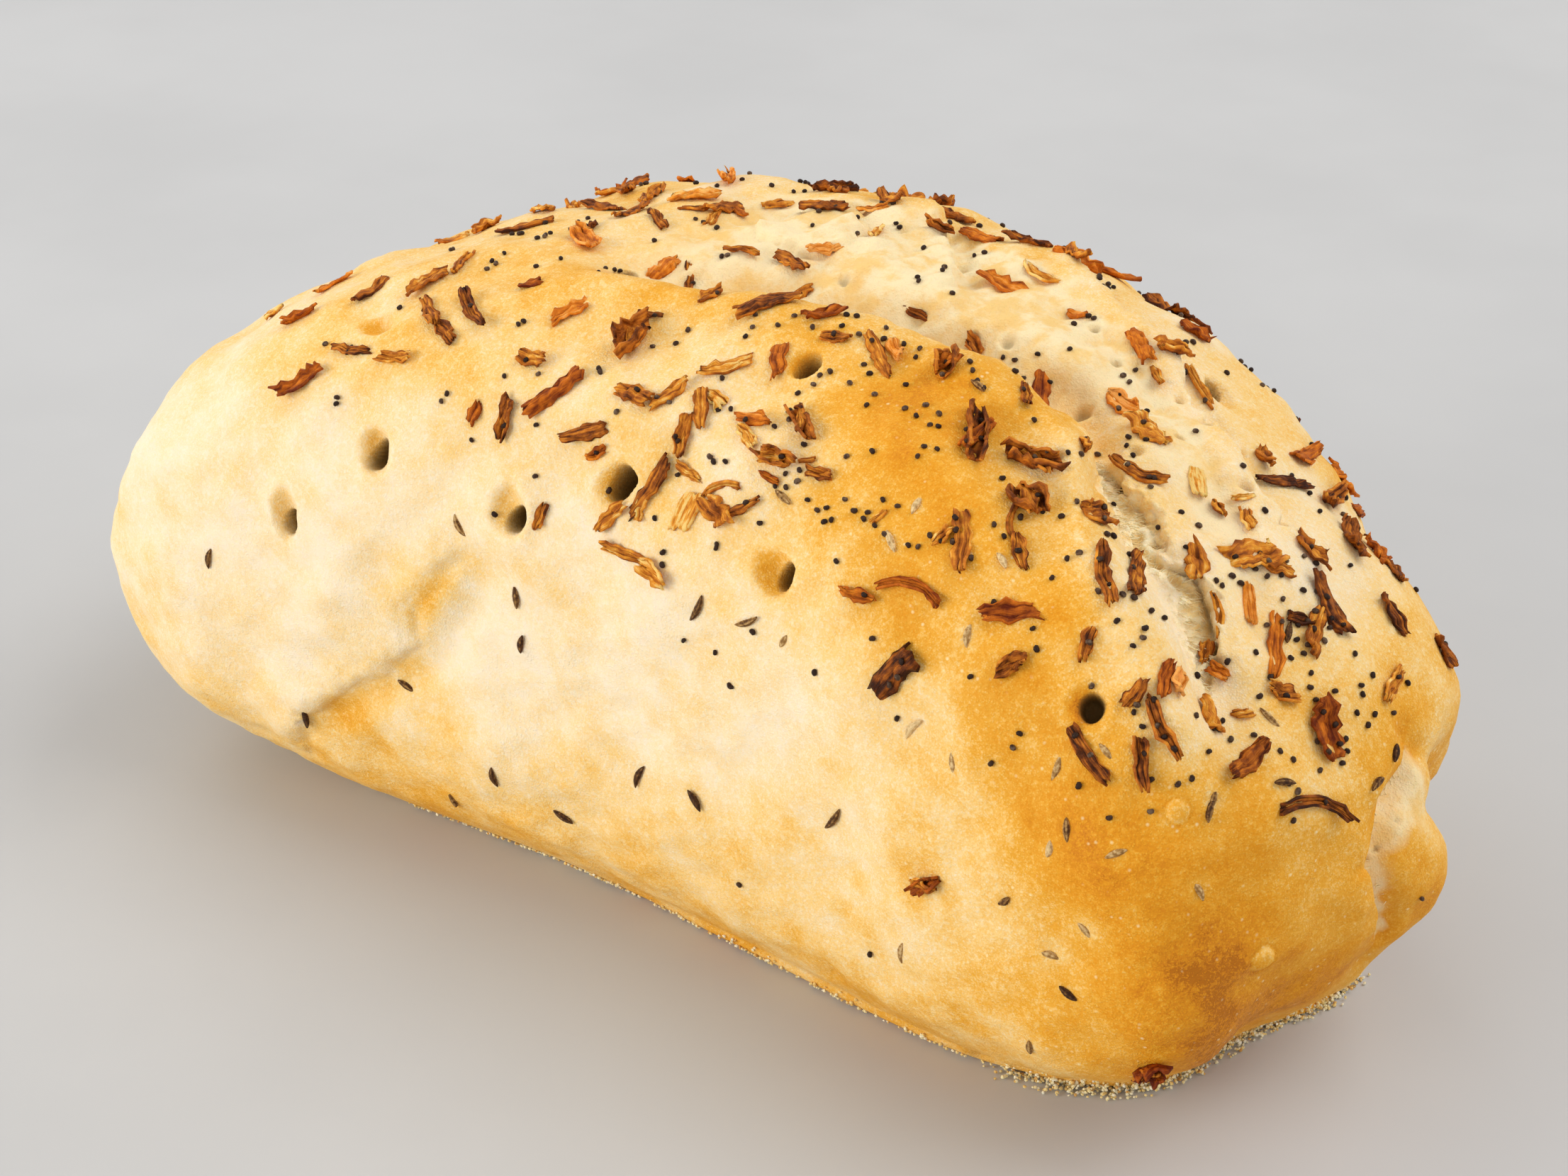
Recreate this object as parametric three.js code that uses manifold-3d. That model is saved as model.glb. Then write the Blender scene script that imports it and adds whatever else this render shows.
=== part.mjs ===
// Onion rye loaf: a free-standing oval loaf that split open along its back while it baked, with
// dried onion flakes and caraway seeds baked into the crust. Millimetres, +Z up, origin on the flat
// base below the middle of the loaf. +X points to the broad end, -Y to the smooth flank.
import * as THREE from 'three';
import { mergeVertices } from 'three/addons/utils/BufferGeometryUtils.js';
import Module from 'manifold-3d';

const wasm = await Module();
wasm.setup();

// Driving sizes of the baked dough, mm.
const halfLength = 130.7;
const smoothHalfWidth = 73.7;
const splitHalfWidth = 71.8;
const height = 121;
const girthHeight = 41.4;

// How square the plan is, how full each flank and the underside are.
const planPower = 3.87;
const smoothPower = 2.76;
const splitPower = 2.81;
const underPower = 2.24;
const undersideDrop = 1.355;

// How the loaf changes along its length: wider and higher to the broad end, lower at both ends, and
// both ends bowed to -Y.
const widening = 0.035;
const endWidening = -0.012;
const rising = 0.037;
const arching = -0.244;
const bow = -27;

// Swells and hollows of the dough: azimuth, elevation and spread in degrees, lift in mm.
const swells = [
  { name: 'broad end', azimuth: 0, elevation: 8, spread: 24, lift: 10.3 },
  { name: 'split corner of the broad end', azimuth: 45, elevation: 8, spread: 24, lift: -12 },
  { name: 'split flank', azimuth: 90, elevation: 8, spread: 24, lift: 6.5 },
  { name: 'split corner of the narrow end', azimuth: 135, elevation: 8, spread: 24, lift: -3.2 },
  { name: 'narrow end', azimuth: 180, elevation: 8, spread: 24, lift: 2.9 },
  { name: 'smooth flank', azimuth: -90, elevation: 8, spread: 24, lift: -4.7 },
  { name: 'smooth corner of the broad end', azimuth: -45, elevation: 8, spread: 24, lift: -8 },
  { name: 'slope behind the split', azimuth: 30, elevation: 42, spread: 24, lift: -2 },
  { name: 'slope to the narrow end', azimuth: 150, elevation: 42, spread: 24, lift: -1.1 },
  { name: 'shoulder of the narrow end', azimuth: -150, elevation: 42, spread: 24, lift: 2.2 },
  { name: 'shoulder of the smooth flank', azimuth: -90, elevation: 42, spread: 24, lift: -1.6 },
  { name: 'back', azimuth: 0, elevation: 88, spread: 24, lift: -4.6 },
  { name: 'heel lobe', azimuth: -3, elevation: 0, spread: 9, lift: 3.4 },
  { name: 'notch over the lobe', azimuth: 8, elevation: 7, spread: 5, lift: -4 },
  { name: 'brow over the notch', azimuth: 13, elevation: 20, spread: 8, lift: 2.9 },
  { name: 'lifted edge of the base', azimuth: -25, elevation: -12, spread: 9, lift: -2 },
];

// The burst split along the back, mm.
const split = {
  from: -42,
  fullFrom: -14,
  fullTo: 104,
  to: 122,
  lipRise: 1.6,
  valleyDepth: 4.6,
  floorDepth: 1.2,
};

// Two folds of the dough, as azimuth and elevation in degrees, with depth and breadth.
const heelSeam = {
  path: [[7, 10], [-4, 18], [-13, 13], [-16, 8], [-13, 0], [-12, -7]],
  depth: 3.2,
  breadth: 2.6,
};
const narrowEndFold = {
  path: [[-109, 34], [-110, 15], [-116, 0], [-122, -8], [-128, -19]],
  depth: 1.6,
  breadth: 2.2,
};

// The skewer holes pricked before baking: direction from the middle of the dough, degrees.
const skewerHoles = [
  [-135, 19.5], [-128.2, 31.3], [-107.3, 32.7], [-89.5, 41.8], [-59.9, 34.7],
  [-27.3, 25.4], [-144.6, 41.5], [-135.4, 65.3], [-56.2, 61], [18.5, 40.4],
];
const holeMouth = 3.3;
const holeBore = 1.9;
const holeDepth = 9;

// The crack torn through the lip of the split, as directions in degrees.
const crackPath = [
  [-18.2, 42], [-18.5, 38.8], [-18.4, 35.8], [-18, 32.8], [-17.3, 30], [-16.4, 27.2], [-17, 24.4],
];
const crackHalfWidth = 3.4;
const crackDepth = 4.5;

// Toppings that stand out of the crust, mm.
const flakeCount = 72;
const flakeLength = [7, 12];
const flakeWidth = [2.6, 4.6];
const flakeThickness = 1;
const seedCount = 24;
const seedLength = [4.4, 5.6];
const seedThickness = 1.6;

// Mesh of the dough.
const doughDetail = 15;
const crowding = 0.24;
const crowdedSide = new THREE.Vector3(0.42, -0.3, 0.86).normalize();

const radians = THREE.MathUtils.degToRad;
const crownHeight = height - girthHeight;

function heading(azimuth, elevation) {
  const a = radians(azimuth);
  const e = radians(elevation);
  return new THREE.Vector3(Math.cos(e) * Math.cos(a), Math.cos(e) * Math.sin(a), Math.sin(e));
}

function ease(from, to, value) {
  return THREE.MathUtils.smoothstep(value, from, to);
}

function bump(distance, breadth) {
  return Math.exp(-((distance / breadth) ** 2));
}

// The place of a point on the dough, seen as if the dough were a ball.
function onBall(point) {
  const ball = new THREE.Vector3(
    point.x / halfLength,
    point.y / smoothHalfWidth,
    (point.z - girthHeight) / crownHeight,
  );
  return ball.normalize();
}

// Signed distance in degrees from a fold, and how far along it the nearest place lies (0 to 1).
function nearFold(path, azimuth, elevation) {
  const here = new THREE.Vector2(azimuth * Math.cos(radians(elevation)), elevation);
  const line = path.map(([a, e]) => new THREE.Vector2(a * Math.cos(radians(e)), e));
  let best = { distance: Infinity, side: 1, along: 0 };
  let run = 0;
  for (let i = 0; i + 1 < line.length; i += 1) {
    const step = line[i + 1].clone().sub(line[i]);
    const length = step.length();
    const offset = here.clone().sub(line[i]);
    const t = THREE.MathUtils.clamp(offset.dot(step) / (length * length), 0, 1);
    const gap = offset.sub(step.clone().multiplyScalar(t));
    if (gap.length() < best.distance) {
      best = {
        distance: gap.length(),
        side: Math.sign(step.x * gap.y - step.y * gap.x),
        along: run + t * length,
      };
    }
    run += length;
  }
  best.along /= run;
  return best;
}

// The front lip and the far edge of the split in plan.
function lipLine(x) {
  return -6 - 0.0033 * (x - 10) ** 2;
}

function farLine(x) {
  return 43 - 0.0048 * (x - 2) ** 2;
}

function splitRelief(point) {
  const behind = point.y - lipLine(point.x);
  const breadth = farLine(point.x) - lipLine(point.x);
  const top = ease(60, 80, point.z);
  const span = ease(split.from, split.fullFrom, point.x) * (1 - ease(split.fullTo, split.to, point.x));
  const lip = split.lipRise * bump(behind + 6, 6);
  const valley = split.valleyDepth * bump(behind - 6, 6.5);
  const floor = split.floorDepth * ease(0, 3, behind) * (1 - ease(breadth - 3, breadth + 2, behind));
  return top * span * (lip - valley - floor);
}

function foldRelief(azimuth, elevation) {
  let lift = 0;
  if (Math.abs(azimuth) < 60) {
    const near = nearFold(heelSeam.path, azimuth, elevation);
    const fade = ease(0, 0.08, near.along + 0.04) * (1 - 0.7 * ease(0.9, 1, near.along));
    lift -= heelSeam.depth * bump(near.distance, heelSeam.breadth) * fade;
  }
  if (azimuth > -150 && azimuth < -80) {
    const near = nearFold(narrowEndFold.path, azimuth, elevation);
    const aside = near.side * near.distance;
    const fade = ease(0, 0.15, near.along) * (1 - ease(0.85, 1, near.along));
    const shelf = 0.9 * ease(0, 2, aside) * (1 - ease(6, 14, aside));
    lift -= (narrowEndFold.depth * bump(aside - 1.5, narrowEndFold.breadth) + shelf) * fade;
  }
  return lift;
}

// The plain dough: a full oval with unlike flanks, wider to one end and bowed in plan.
function plainDough(direction) {
  const splitSide = 0.5 + 0.5 * Math.tanh(4 * direction.y);
  const halfWidth = THREE.MathUtils.lerp(smoothHalfWidth, splitHalfWidth, splitSide);
  const upper = direction.z > 0;
  const flankPower = THREE.MathUtils.lerp(smoothPower, splitPower, splitSide);
  const power = upper ? flankPower : underPower;
  const rise = upper ? crownHeight : girthHeight * undersideDrop;
  const plan = (Math.abs(direction.x / halfLength) ** planPower
    + Math.abs(direction.y / halfWidth) ** planPower) ** (1 / planPower);
  const reach = (plan ** power + Math.abs(direction.z / rise) ** power) ** (-1 / power);
  const point = direction.clone().multiplyScalar(reach);
  const u = point.x / halfLength;
  point.y *= 1 + widening * u + endWidening * u * u;
  point.z *= upper ? 1 + rising * u + arching * u * u : 1;
  point.y += bow * (u * u - 0.5);
  point.z += girthHeight;
  return point;
}

function doughPoint(direction) {
  const point = plainDough(direction);
  const ball = onBall(point);
  const outward = new THREE.Vector3(
    ball.x / halfLength,
    ball.y / smoothHalfWidth,
    ball.z / crownHeight,
  ).normalize();
  let lift = 0;
  for (const swell of swells) {
    const angle = THREE.MathUtils.radToDeg(ball.angleTo(heading(swell.azimuth, swell.elevation)));
    lift += swell.lift * Math.exp(-((angle / swell.spread) ** 2) / 2);
  }
  point.addScaledVector(outward, lift);
  const swollen = onBall(point);
  const azimuth = THREE.MathUtils.radToDeg(Math.atan2(swollen.y, swollen.x));
  const elevation = THREE.MathUtils.radToDeg(Math.asin(swollen.z));
  return point.addScaledVector(outward, splitRelief(point) + foldRelief(azimuth, elevation));
}

// A point of the crust with the frame that something lying on it takes; turn is degrees about the normal.
function crustFrame(direction, turn = 0) {
  const point = doughPoint(direction);
  const sideways = new THREE.Vector3(-direction.y, direction.x, 0).normalize();
  const upwards = new THREE.Vector3().crossVectors(direction, sideways);
  const step = 0.012;
  const along = doughPoint(direction.clone().addScaledVector(sideways, step).normalize()).sub(point);
  const across = doughPoint(direction.clone().addScaledVector(upwards, step).normalize()).sub(point);
  const normal = new THREE.Vector3().crossVectors(along, across).normalize();
  const x = along.normalize().applyAxisAngle(normal, radians(turn));
  const y = new THREE.Vector3().crossVectors(normal, x);
  return { point, normal, basis: new THREE.Matrix4().makeBasis(x, y, normal).setPosition(point) };
}

// A closed body through a row of rings of equal count, with flat ends.
function skin(rings) {
  const count = rings[0].length;
  const positions = rings.flat().flatMap((p) => [p.x, p.y, p.z]);
  const faces = [];
  for (let i = 0; i + 1 < rings.length; i += 1) {
    for (let j = 0; j < count; j += 1) {
      const a = i * count + j;
      const b = i * count + ((j + 1) % count);
      faces.push(a, b, b + count, a, b + count, a + count);
    }
  }
  const last = (rings.length - 1) * count;
  for (let j = 1; j + 1 < count; j += 1) {
    faces.push(0, j + 1, j, last, last + j, last + j + 1);
  }
  const geometry = new THREE.BufferGeometry();
  geometry.setAttribute('position', new THREE.Float32BufferAttribute(positions, 3));
  geometry.setIndex(faces);
  return geometry;
}

function solidOf(geometry) {
  const bare = geometry.clone();
  bare.deleteAttribute('normal');
  bare.deleteAttribute('uv');
  const merged = mergeVertices(bare, 1e-4);
  return new wasm.Manifold(new wasm.Mesh({
    numProp: 3,
    vertProperties: new Float32Array(merged.attributes.position.array),
    triVerts: new Uint32Array(merged.index.array),
  }));
}

function geometryOf(solid) {
  const mesh = solid.getMesh();
  const geometry = new THREE.BufferGeometry();
  geometry.setAttribute('position', new THREE.BufferAttribute(new Float32Array(mesh.vertProperties), 3));
  geometry.setIndex(new THREE.BufferAttribute(new Uint32Array(mesh.triVerts), 1));
  return geometry;
}

// Repeatable draw of numbers from 0 to 1.
function drawer(start) {
  let state = start;
  return () => {
    state = (state * 1664525 + 1013904223) % 4294967296;
    return state / 4294967296;
  };
}

function between(draw, [low, high]) {
  return low + (high - low) * draw();
}

// The whole dough, with its vertices crowded to the split and the broad end, cut flat below.
function dough() {
  const geometry = new THREE.IcosahedronGeometry(1, doughDetail);
  const positions = geometry.attributes.position;
  for (let i = 0; i < positions.count; i += 1) {
    const direction = new THREE.Vector3().fromBufferAttribute(positions, i);
    const point = doughPoint(direction.addScaledVector(crowdedSide, crowding).normalize());
    positions.setXYZ(i, point.x, point.y, point.z);
  }
  const table = new THREE.BoxGeometry(4 * halfLength, 4 * halfLength, 2 * height);
  table.translate(0, 0, -height);
  return solidOf(geometry).subtract(solidOf(table));
}

// A skewer hole: a funnel that narrows to a bore and runs down and inward.
function skewerHole([azimuth, elevation]) {
  const { point, normal } = crustFrame(heading(azimuth, elevation));
  const axis = normal.clone().lerp(new THREE.Vector3(0, 0, 1), 0.45).normalize();
  const side = new THREE.Vector3(1, 0, 0).cross(axis).normalize();
  const profile = [[2.5, 1.5], [0.2, 1], [-1.6, 0.72], [-3.2, 0.5], [-holeDepth, 0.42]];
  const bore = holeBore / 0.42;
  const rings = profile.map(([level, share]) => {
    const radius = level > -1 ? holeMouth * share : bore * share;
    return [...Array(9).keys()].map((k) => side.clone()
      .applyAxisAngle(axis, -2 * Math.PI * k / 9)
      .multiplyScalar(radius)
      .addScaledVector(axis, level)
      .add(point));
  });
  return skin(rings);
}

// The torn crack: a wedge with a wandering floor, pointed at both ends.
function crack() {
  const draw = drawer(31);
  const frames = crackPath.map(([azimuth, elevation]) => crustFrame(heading(azimuth, elevation)));
  const rings = frames.map(({ point, normal }, i) => {
    const before = frames[Math.max(i - 1, 0)].point;
    const after = frames[Math.min(i + 1, frames.length - 1)].point;
    const aside = new THREE.Vector3().subVectors(after, before).cross(normal).normalize();
    const t = i / (frames.length - 1);
    const swell = Math.max(Math.sin(Math.PI * t) ** 0.7, 0.12) * (0.75 + 0.5 * draw());
    const wide = crackHalfWidth * swell;
    const deep = crackDepth * swell;
    const drift = 0.8 * (draw() - 0.5);
    const place = (sideStep, level) => point.clone()
      .addScaledVector(aside, sideStep + drift)
      .addScaledVector(normal, level);
    return [place(-wide * 1.2, 2.5), place(wide * 1.2, 2.5), place(wide * 0.7, -0.6 * deep),
      place(0, -deep), place(-wide * 0.5, -0.8 * deep)];
  });
  return skin(rings);
}

// A dried onion flake: a thin curled strip with uneven edges.
function onionFlake(draw, direction) {
  const length = between(draw, flakeLength);
  const width = between(draw, flakeWidth);
  const curl = 0.5 + 1.1 * draw();
  const twist = 0.7 * (draw() - 0.5);
  const { basis } = crustFrame(direction, 360 * draw());
  const rings = [-0.5, -0.17, 0.17, 0.5].map((t) => {
    const angle = curl * t;
    const half = 0.5 * width * (0.72 + 0.4 * draw());
    const middle = new THREE.Vector3(
      Math.sin(angle) * length / curl,
      0.8 * (draw() - 0.5),
      (1 - Math.cos(angle)) * length / curl,
    );
    const roll = new THREE.Euler(twist * t, -angle, 0);
    return [[-1, -1], [1, -1], [1, 1], [-1, 1]].map(([sideSign, level]) => new THREE.Vector3(
      0,
      sideSign * half,
      0.5 * level * flakeThickness,
    ).applyEuler(roll).add(middle));
  });
  const geometry = skin(rings);
  geometry.translate(0, 0, -0.25);
  return geometry.applyMatrix4(basis);
}

// A caraway seed: a slim spindle half sunk in the crust.
function carawaySeed(draw, direction) {
  const length = between(draw, seedLength);
  const { basis } = crustFrame(direction, 360 * draw());
  const rings = [[-0.5, 0.25], [-0.2, 1], [0.2, 1], [0.5, 0.25]].map(([t, share]) => (
    [...Array(5).keys()].map((k) => {
      const angle = 2 * Math.PI * k / 5;
      const radius = 0.5 * seedThickness * share;
      return new THREE.Vector3(t * length, radius * Math.cos(angle), radius * Math.sin(angle));
    })
  ));
  const geometry = skin(rings);
  geometry.translate(0, 0, 0.2);
  return geometry.applyMatrix4(basis);
}

// Where the crust is opened, so nothing may lie on it.
function openings() {
  return [...skewerHoles, ...crackPath].map(([azimuth, elevation]) => (
    doughPoint(heading(azimuth, elevation))
  ));
}

// Directions that fall at random where the share function is high, a spacing apart on the crust.
function scatter(start, count, spacing, share) {
  const draw = drawer(start);
  const chosen = [];
  const taken = openings();
  for (let tries = 0; tries < 60000 && chosen.length < count; tries += 1) {
    const z = 1 - 2 * draw();
    const turn = 2 * Math.PI * draw();
    const flat = Math.sqrt(1 - z * z);
    const direction = new THREE.Vector3(flat * Math.cos(turn), flat * Math.sin(turn), z);
    const wanted = draw();
    const point = doughPoint(direction);
    if (wanted < share(point) && taken.every((other) => other.distanceTo(point) > spacing)) {
      chosen.push(direction);
      taken.push(point);
    }
  }
  return chosen;
}

// Onion lies on the back and the broad end, and runs out to the narrow end and down the smooth flank.
function onionShare(point) {
  return ease(70, 96, point.z) * ease(-112, -70, point.x) * (1 - 0.5 * bump(point.y - 20, 12));
}

// Caraway shows on the smooth flank and the broad end, from the shoulder down to the base.
function carawayShare(point) {
  return ease(14, 26, point.z) * (1 - ease(78, 92, point.z)) * (1 - ease(-20, 10, point.y));
}

function loafSolid() {
  let solid = dough();
  for (const hole of skewerHoles) {
    solid = solid.subtract(solidOf(skewerHole(hole)));
  }
  solid = solid.subtract(solidOf(crack()));
  const flakeDraw = drawer(7);
  for (const direction of scatter(11, flakeCount, 9, onionShare)) {
    solid = solid.add(solidOf(onionFlake(flakeDraw, direction)));
  }
  const seedDraw = drawer(19);
  for (const direction of scatter(23, seedCount, 14, carawayShare)) {
    solid = solid.add(solidOf(carawaySeed(seedDraw, direction)));
  }
  return solid;
}

function loafMesh() {
  const geometry = geometryOf(loafSolid());
  geometry.computeBoundingBox();
  const middle = geometry.boundingBox.getCenter(new THREE.Vector3());
  geometry.translate(-middle.x, -middle.y, -geometry.boundingBox.min.z);
  geometry.computeVertexNormals();
  const crust = new THREE.MeshStandardMaterial({ color: 0xdca763, roughness: 0.72, metalness: 0 });
  const mesh = new THREE.Mesh(geometry, crust);
  mesh.name = 'loaf';
  return mesh;
}

const part = new THREE.Group();
part.name = 'onion_rye_loaf';
part.add(loafMesh());

export default part;
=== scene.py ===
import math
import random

import bmesh
import bpy
import numpy as np
from mathutils import Matrix, Vector
from mathutils.bvhtree import BVHTree


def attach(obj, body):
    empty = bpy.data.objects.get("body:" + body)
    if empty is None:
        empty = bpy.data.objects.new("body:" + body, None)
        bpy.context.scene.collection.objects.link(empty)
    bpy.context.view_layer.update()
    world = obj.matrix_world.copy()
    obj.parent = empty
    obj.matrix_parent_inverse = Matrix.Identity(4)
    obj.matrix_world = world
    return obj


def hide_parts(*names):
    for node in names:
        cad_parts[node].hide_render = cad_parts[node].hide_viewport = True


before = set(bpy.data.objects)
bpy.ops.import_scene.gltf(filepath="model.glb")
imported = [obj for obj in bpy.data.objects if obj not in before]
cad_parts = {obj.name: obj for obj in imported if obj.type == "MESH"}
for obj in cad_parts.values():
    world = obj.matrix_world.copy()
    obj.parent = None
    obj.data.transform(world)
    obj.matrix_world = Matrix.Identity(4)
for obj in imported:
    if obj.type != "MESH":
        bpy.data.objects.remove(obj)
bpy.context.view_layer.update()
mm = 0.001  # a millimetre in metres


# The camera: place in metres, tilt and turn in degrees, lens and sensor in millimetres, picture size
viewpoint = {
    "place": (0.2381, -0.3512, 0.2916),
    "tilt": 60.0,
    "turn": 35.0,
    "lens": 50.0,
    "sensor": 32.0,
    "pixels": (2212, 1659),
}


def makeCamera():
    data = bpy.data.cameras.new("view")
    data.lens = viewpoint["lens"]
    data.sensor_width = viewpoint["sensor"]
    data.clip_start = 0.01
    data.clip_end = 60.0
    camera = bpy.data.objects.new("view", data)
    camera.location = viewpoint["place"]
    camera.rotation_euler = (math.radians(viewpoint["tilt"]), 0.0, math.radians(viewpoint["turn"]))
    bpy.context.scene.collection.objects.link(camera)
    bpy.context.scene.camera = camera
    bpy.context.view_layer.update()
    return camera


camera = makeCamera()
print("camera placed")


# Form of the dough, fitted to the loaf's outline
dough = {
    "halfLength": 130.7,
    "smoothHalfWidth": 73.7,
    "splitHalfWidth": 71.8,
    "height": 121.0,
    "girth": 41.4,
    "planPower": 3.87,
    "smoothPower": 2.76,
    "splitPower": 2.81,
    "underPower": 2.24,
    "drop": 1.355,
    "widening": 0.035,
    "endWidening": -0.012,
    "rising": 0.037,
    "arching": -0.244,
    "bow": -27.0,
    "middle": (2.894, 11.582),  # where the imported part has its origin
}

# Swells of the dough: azimuth, elevation and spread in degrees, lift
swells = [
    (0, 8, 24, 10.3), (45, 8, 24, -12), (90, 8, 24, 6.5), (135, 8, 24, -3.2), (180, 8, 24, 2.9), (-90, 8, 24, -4.7),
    (-45, 8, 24, -8), (30, 42, 24, -2), (150, 42, 24, -1.1), (-150, 42, 24, 2.2), (-90, 42, 24, -1.6),
    (0, 88, 24, -4.6), (-3, 0, 9, 3.4), (8, 7, 5, -4.0), (13, 20, 8, 2.9), (-25, -12, 9, -2.0),
]

# The burst split: where it opens and closes along the loaf, how high its lip is, how deep its valley and its floor
split = {"from": -42, "fullFrom": -14, "fullTo": 104, "to": 122, "lip": 2.3, "valley": 4.6, "floor": 1.2}
lipRun = {
    "at": (-10, 0, 10, 20, 30, 40, 50, 58, 65, 70, 74, 78, 82),
    "back": (0, 1.5, 3, 4, 5.5, 7.5, 10, 11, 11, 10, 7, 3, 0),
}

# Folds of the dough: azimuth and elevation of their places in degrees, depth and breadth
heelSeam = {"path": [(7, 10), (-4, 18), (-13, 13), (-16, 8), (-13, 0), (-12, -7)], "depth": 3.2, "breadth": 2.6}
lobeCrease = {
    "path": [(-12, 11), (-8, 12.5), (-3, 10.5), (4, 7), (10.5, 3.4), (18, -1), (28, -8)],
    "depth": 4.2,
    "breadth": 2.7,
}
endFold = {"path": [(-109, 34), (-110, 15), (-116, 0), (-122, -8), (-128, -19)], "depth": 1.6, "breadth": 2.2}

# The foot spreads out in a thin lip: turn about the middle in degrees, by what share it spreads there, and the height
# in millimetres over which that ends
foot = {
    "turns": (-125, -91, -69, -42, -27, -20, -16, -10, -4, 0, 3, 8, 20),
    "spread": (0, 0.03, 0.055, 0.060, 0.055, 0.10, 0.12, 0.11, 0.127, 0.18, 0.205, 0.24, 0),
    "height": (0.8, 4.5),
}


def heading(azimuth, elevation):
    a, e = math.radians(azimuth), math.radians(elevation)
    return np.array([math.cos(e) * math.cos(a), math.cos(e) * math.sin(a), math.sin(e)])


def ease(low, high, value):
    t = np.clip((value - low) / (high - low), 0.0, 1.0)
    return t * t * (3.0 - 2.0 * t)


def bump(distance, breadth):
    return np.exp(-((distance / breadth) ** 2))


# How far each point is from a place.
def away(points, centre):
    return np.linalg.norm(points - centre, axis=1)


def unit(vectors):
    return vectors / np.linalg.norm(vectors, axis=-1, keepdims=True)


doughSize = (dough["halfLength"], dough["smoothHalfWidth"], dough["height"] - dough["girth"])


# The place of each point as if the dough were a ball.
def onBall(points):
    return unit((points - (0, 0, dough["girth"])) / doughSize)


# Nearest distance to a line of spots, how far along it that is (0 to 1), and the side seen from outside.
def nearLine(points, line, outward):
    line = np.asarray(line, float)
    steps = np.diff(line, axis=0)
    lengths = np.linalg.norm(steps, axis=1)
    best = np.full(len(points), 1e9)
    along = np.zeros(len(points))
    side = np.ones(len(points))
    run = 0.0
    for start, step, length in zip(line[:-1], steps, lengths):
        offset = points - start
        t = np.clip(offset @ step / length ** 2, 0.0, 1.0)
        gap = offset - t[:, None] * step
        distance = np.linalg.norm(gap, axis=1)
        closer = distance < best
        best[closer] = distance[closer]
        along[closer] = run + t[closer] * length
        side[closer] = np.sign((np.cross(step, gap[closer]) * outward[closer]).sum(axis=1) + 1e-9)
        run += length
    return best, along / run, side


# The front lip runs on well back until it turns down into the crack.
def lipLine(x):
    return -6 - 0.0033 * (x - 10) ** 2 + np.interp(x, lipRun["at"], lipRun["back"])


def farLine(x):
    return 43 - 0.0048 * (x - 2) ** 2


# How far a point lies behind the front lip of the split, the split's breadth there, and how much it is open.
def splitPlace(points):
    x, y, z = points.T
    behind = y - lipLine(x)
    breadth = farLine(x) - lipLine(x)
    opened = ease(60, 80, z) * ease(split["from"], split["fullFrom"], x)
    opened = opened * (1 - ease(split["fullTo"], split["to"], x))
    return behind, breadth, opened


def splitRelief(points):
    behind, breadth, opened = splitPlace(points)
    lip = split["lip"] * bump(behind + 6, 6)
    valley = split["valley"] * bump(behind - 6, 6.5)
    floor = split["floor"] * ease(0, 3, behind) * (1 - ease(breadth - 3, breadth + 2, behind))
    return opened * (lip - valley - floor)


def foldRelief(points):
    ball = onBall(points)
    azimuth = np.degrees(np.arctan2(ball[:, 1], ball[:, 0]))
    elevation = np.degrees(np.arcsin(ball[:, 2]))
    flat = np.stack([azimuth * np.cos(np.radians(elevation)), elevation, 0 * azimuth], axis=1)
    up = np.tile((0.0, 0.0, 1.0), (len(points), 1))
    lift = np.zeros(len(points))
    for fold in (heelSeam, lobeCrease, endFold):
        line = [(a * math.cos(math.radians(e)), e, 0.0) for a, e in fold["path"]]
        distance, along, side = nearLine(flat, line, up)
        if fold is endFold:
            aside = side * distance
            fade = ease(0, 0.15, along) * (1 - ease(0.85, 1, along))
            shelf = 0.9 * ease(0, 2, aside) * (1 - ease(6, 14, aside))
            where = (azimuth > -150) & (azimuth < -80)
            lift -= where * (fold["depth"] * bump(aside - 1.5, fold["breadth"]) + shelf) * fade
            continue
        if fold is heelSeam:
            fade = ease(0, 0.08, along + 0.04) * (1 - 0.7 * ease(0.9, 1, along))
        else:
            fade = ease(0, 0.4, along) * (1 - ease(0.75, 1, along))
        lift -= (np.abs(azimuth) < 60) * fold["depth"] * bump(distance, fold["breadth"]) * fade
    return lift


def plainDough(directions):
    x, y, z = directions.T
    crown = dough["height"] - dough["girth"]
    splitSide = 0.5 + 0.5 * np.tanh(4 * y)
    halfWidth = dough["smoothHalfWidth"] * (1 - splitSide) + dough["splitHalfWidth"] * splitSide
    flank = dough["smoothPower"] * (1 - splitSide) + dough["splitPower"] * splitSide
    power = np.where(z > 0, flank, dough["underPower"])
    rise = np.where(z > 0, crown, dough["girth"] * dough["drop"])
    plan = np.abs(x / dough["halfLength"]) ** dough["planPower"] + np.abs(y / halfWidth) ** dough["planPower"]
    plan = plan ** (1 / dough["planPower"])
    reach = (plan ** power + np.abs(z / rise) ** power) ** (-1 / power)
    points = directions * reach[:, None]
    u = points[:, 0] / dough["halfLength"]
    points[:, 1] *= 1 + dough["widening"] * u + dough["endWidening"] * u * u
    points[:, 2] *= np.where(z > 0, 1 + dough["rising"] * u + dough["arching"] * u * u, 1)
    points[:, 1] += dough["bow"] * (u * u - 0.5)
    points[:, 2] += dough["girth"]
    return points


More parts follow.
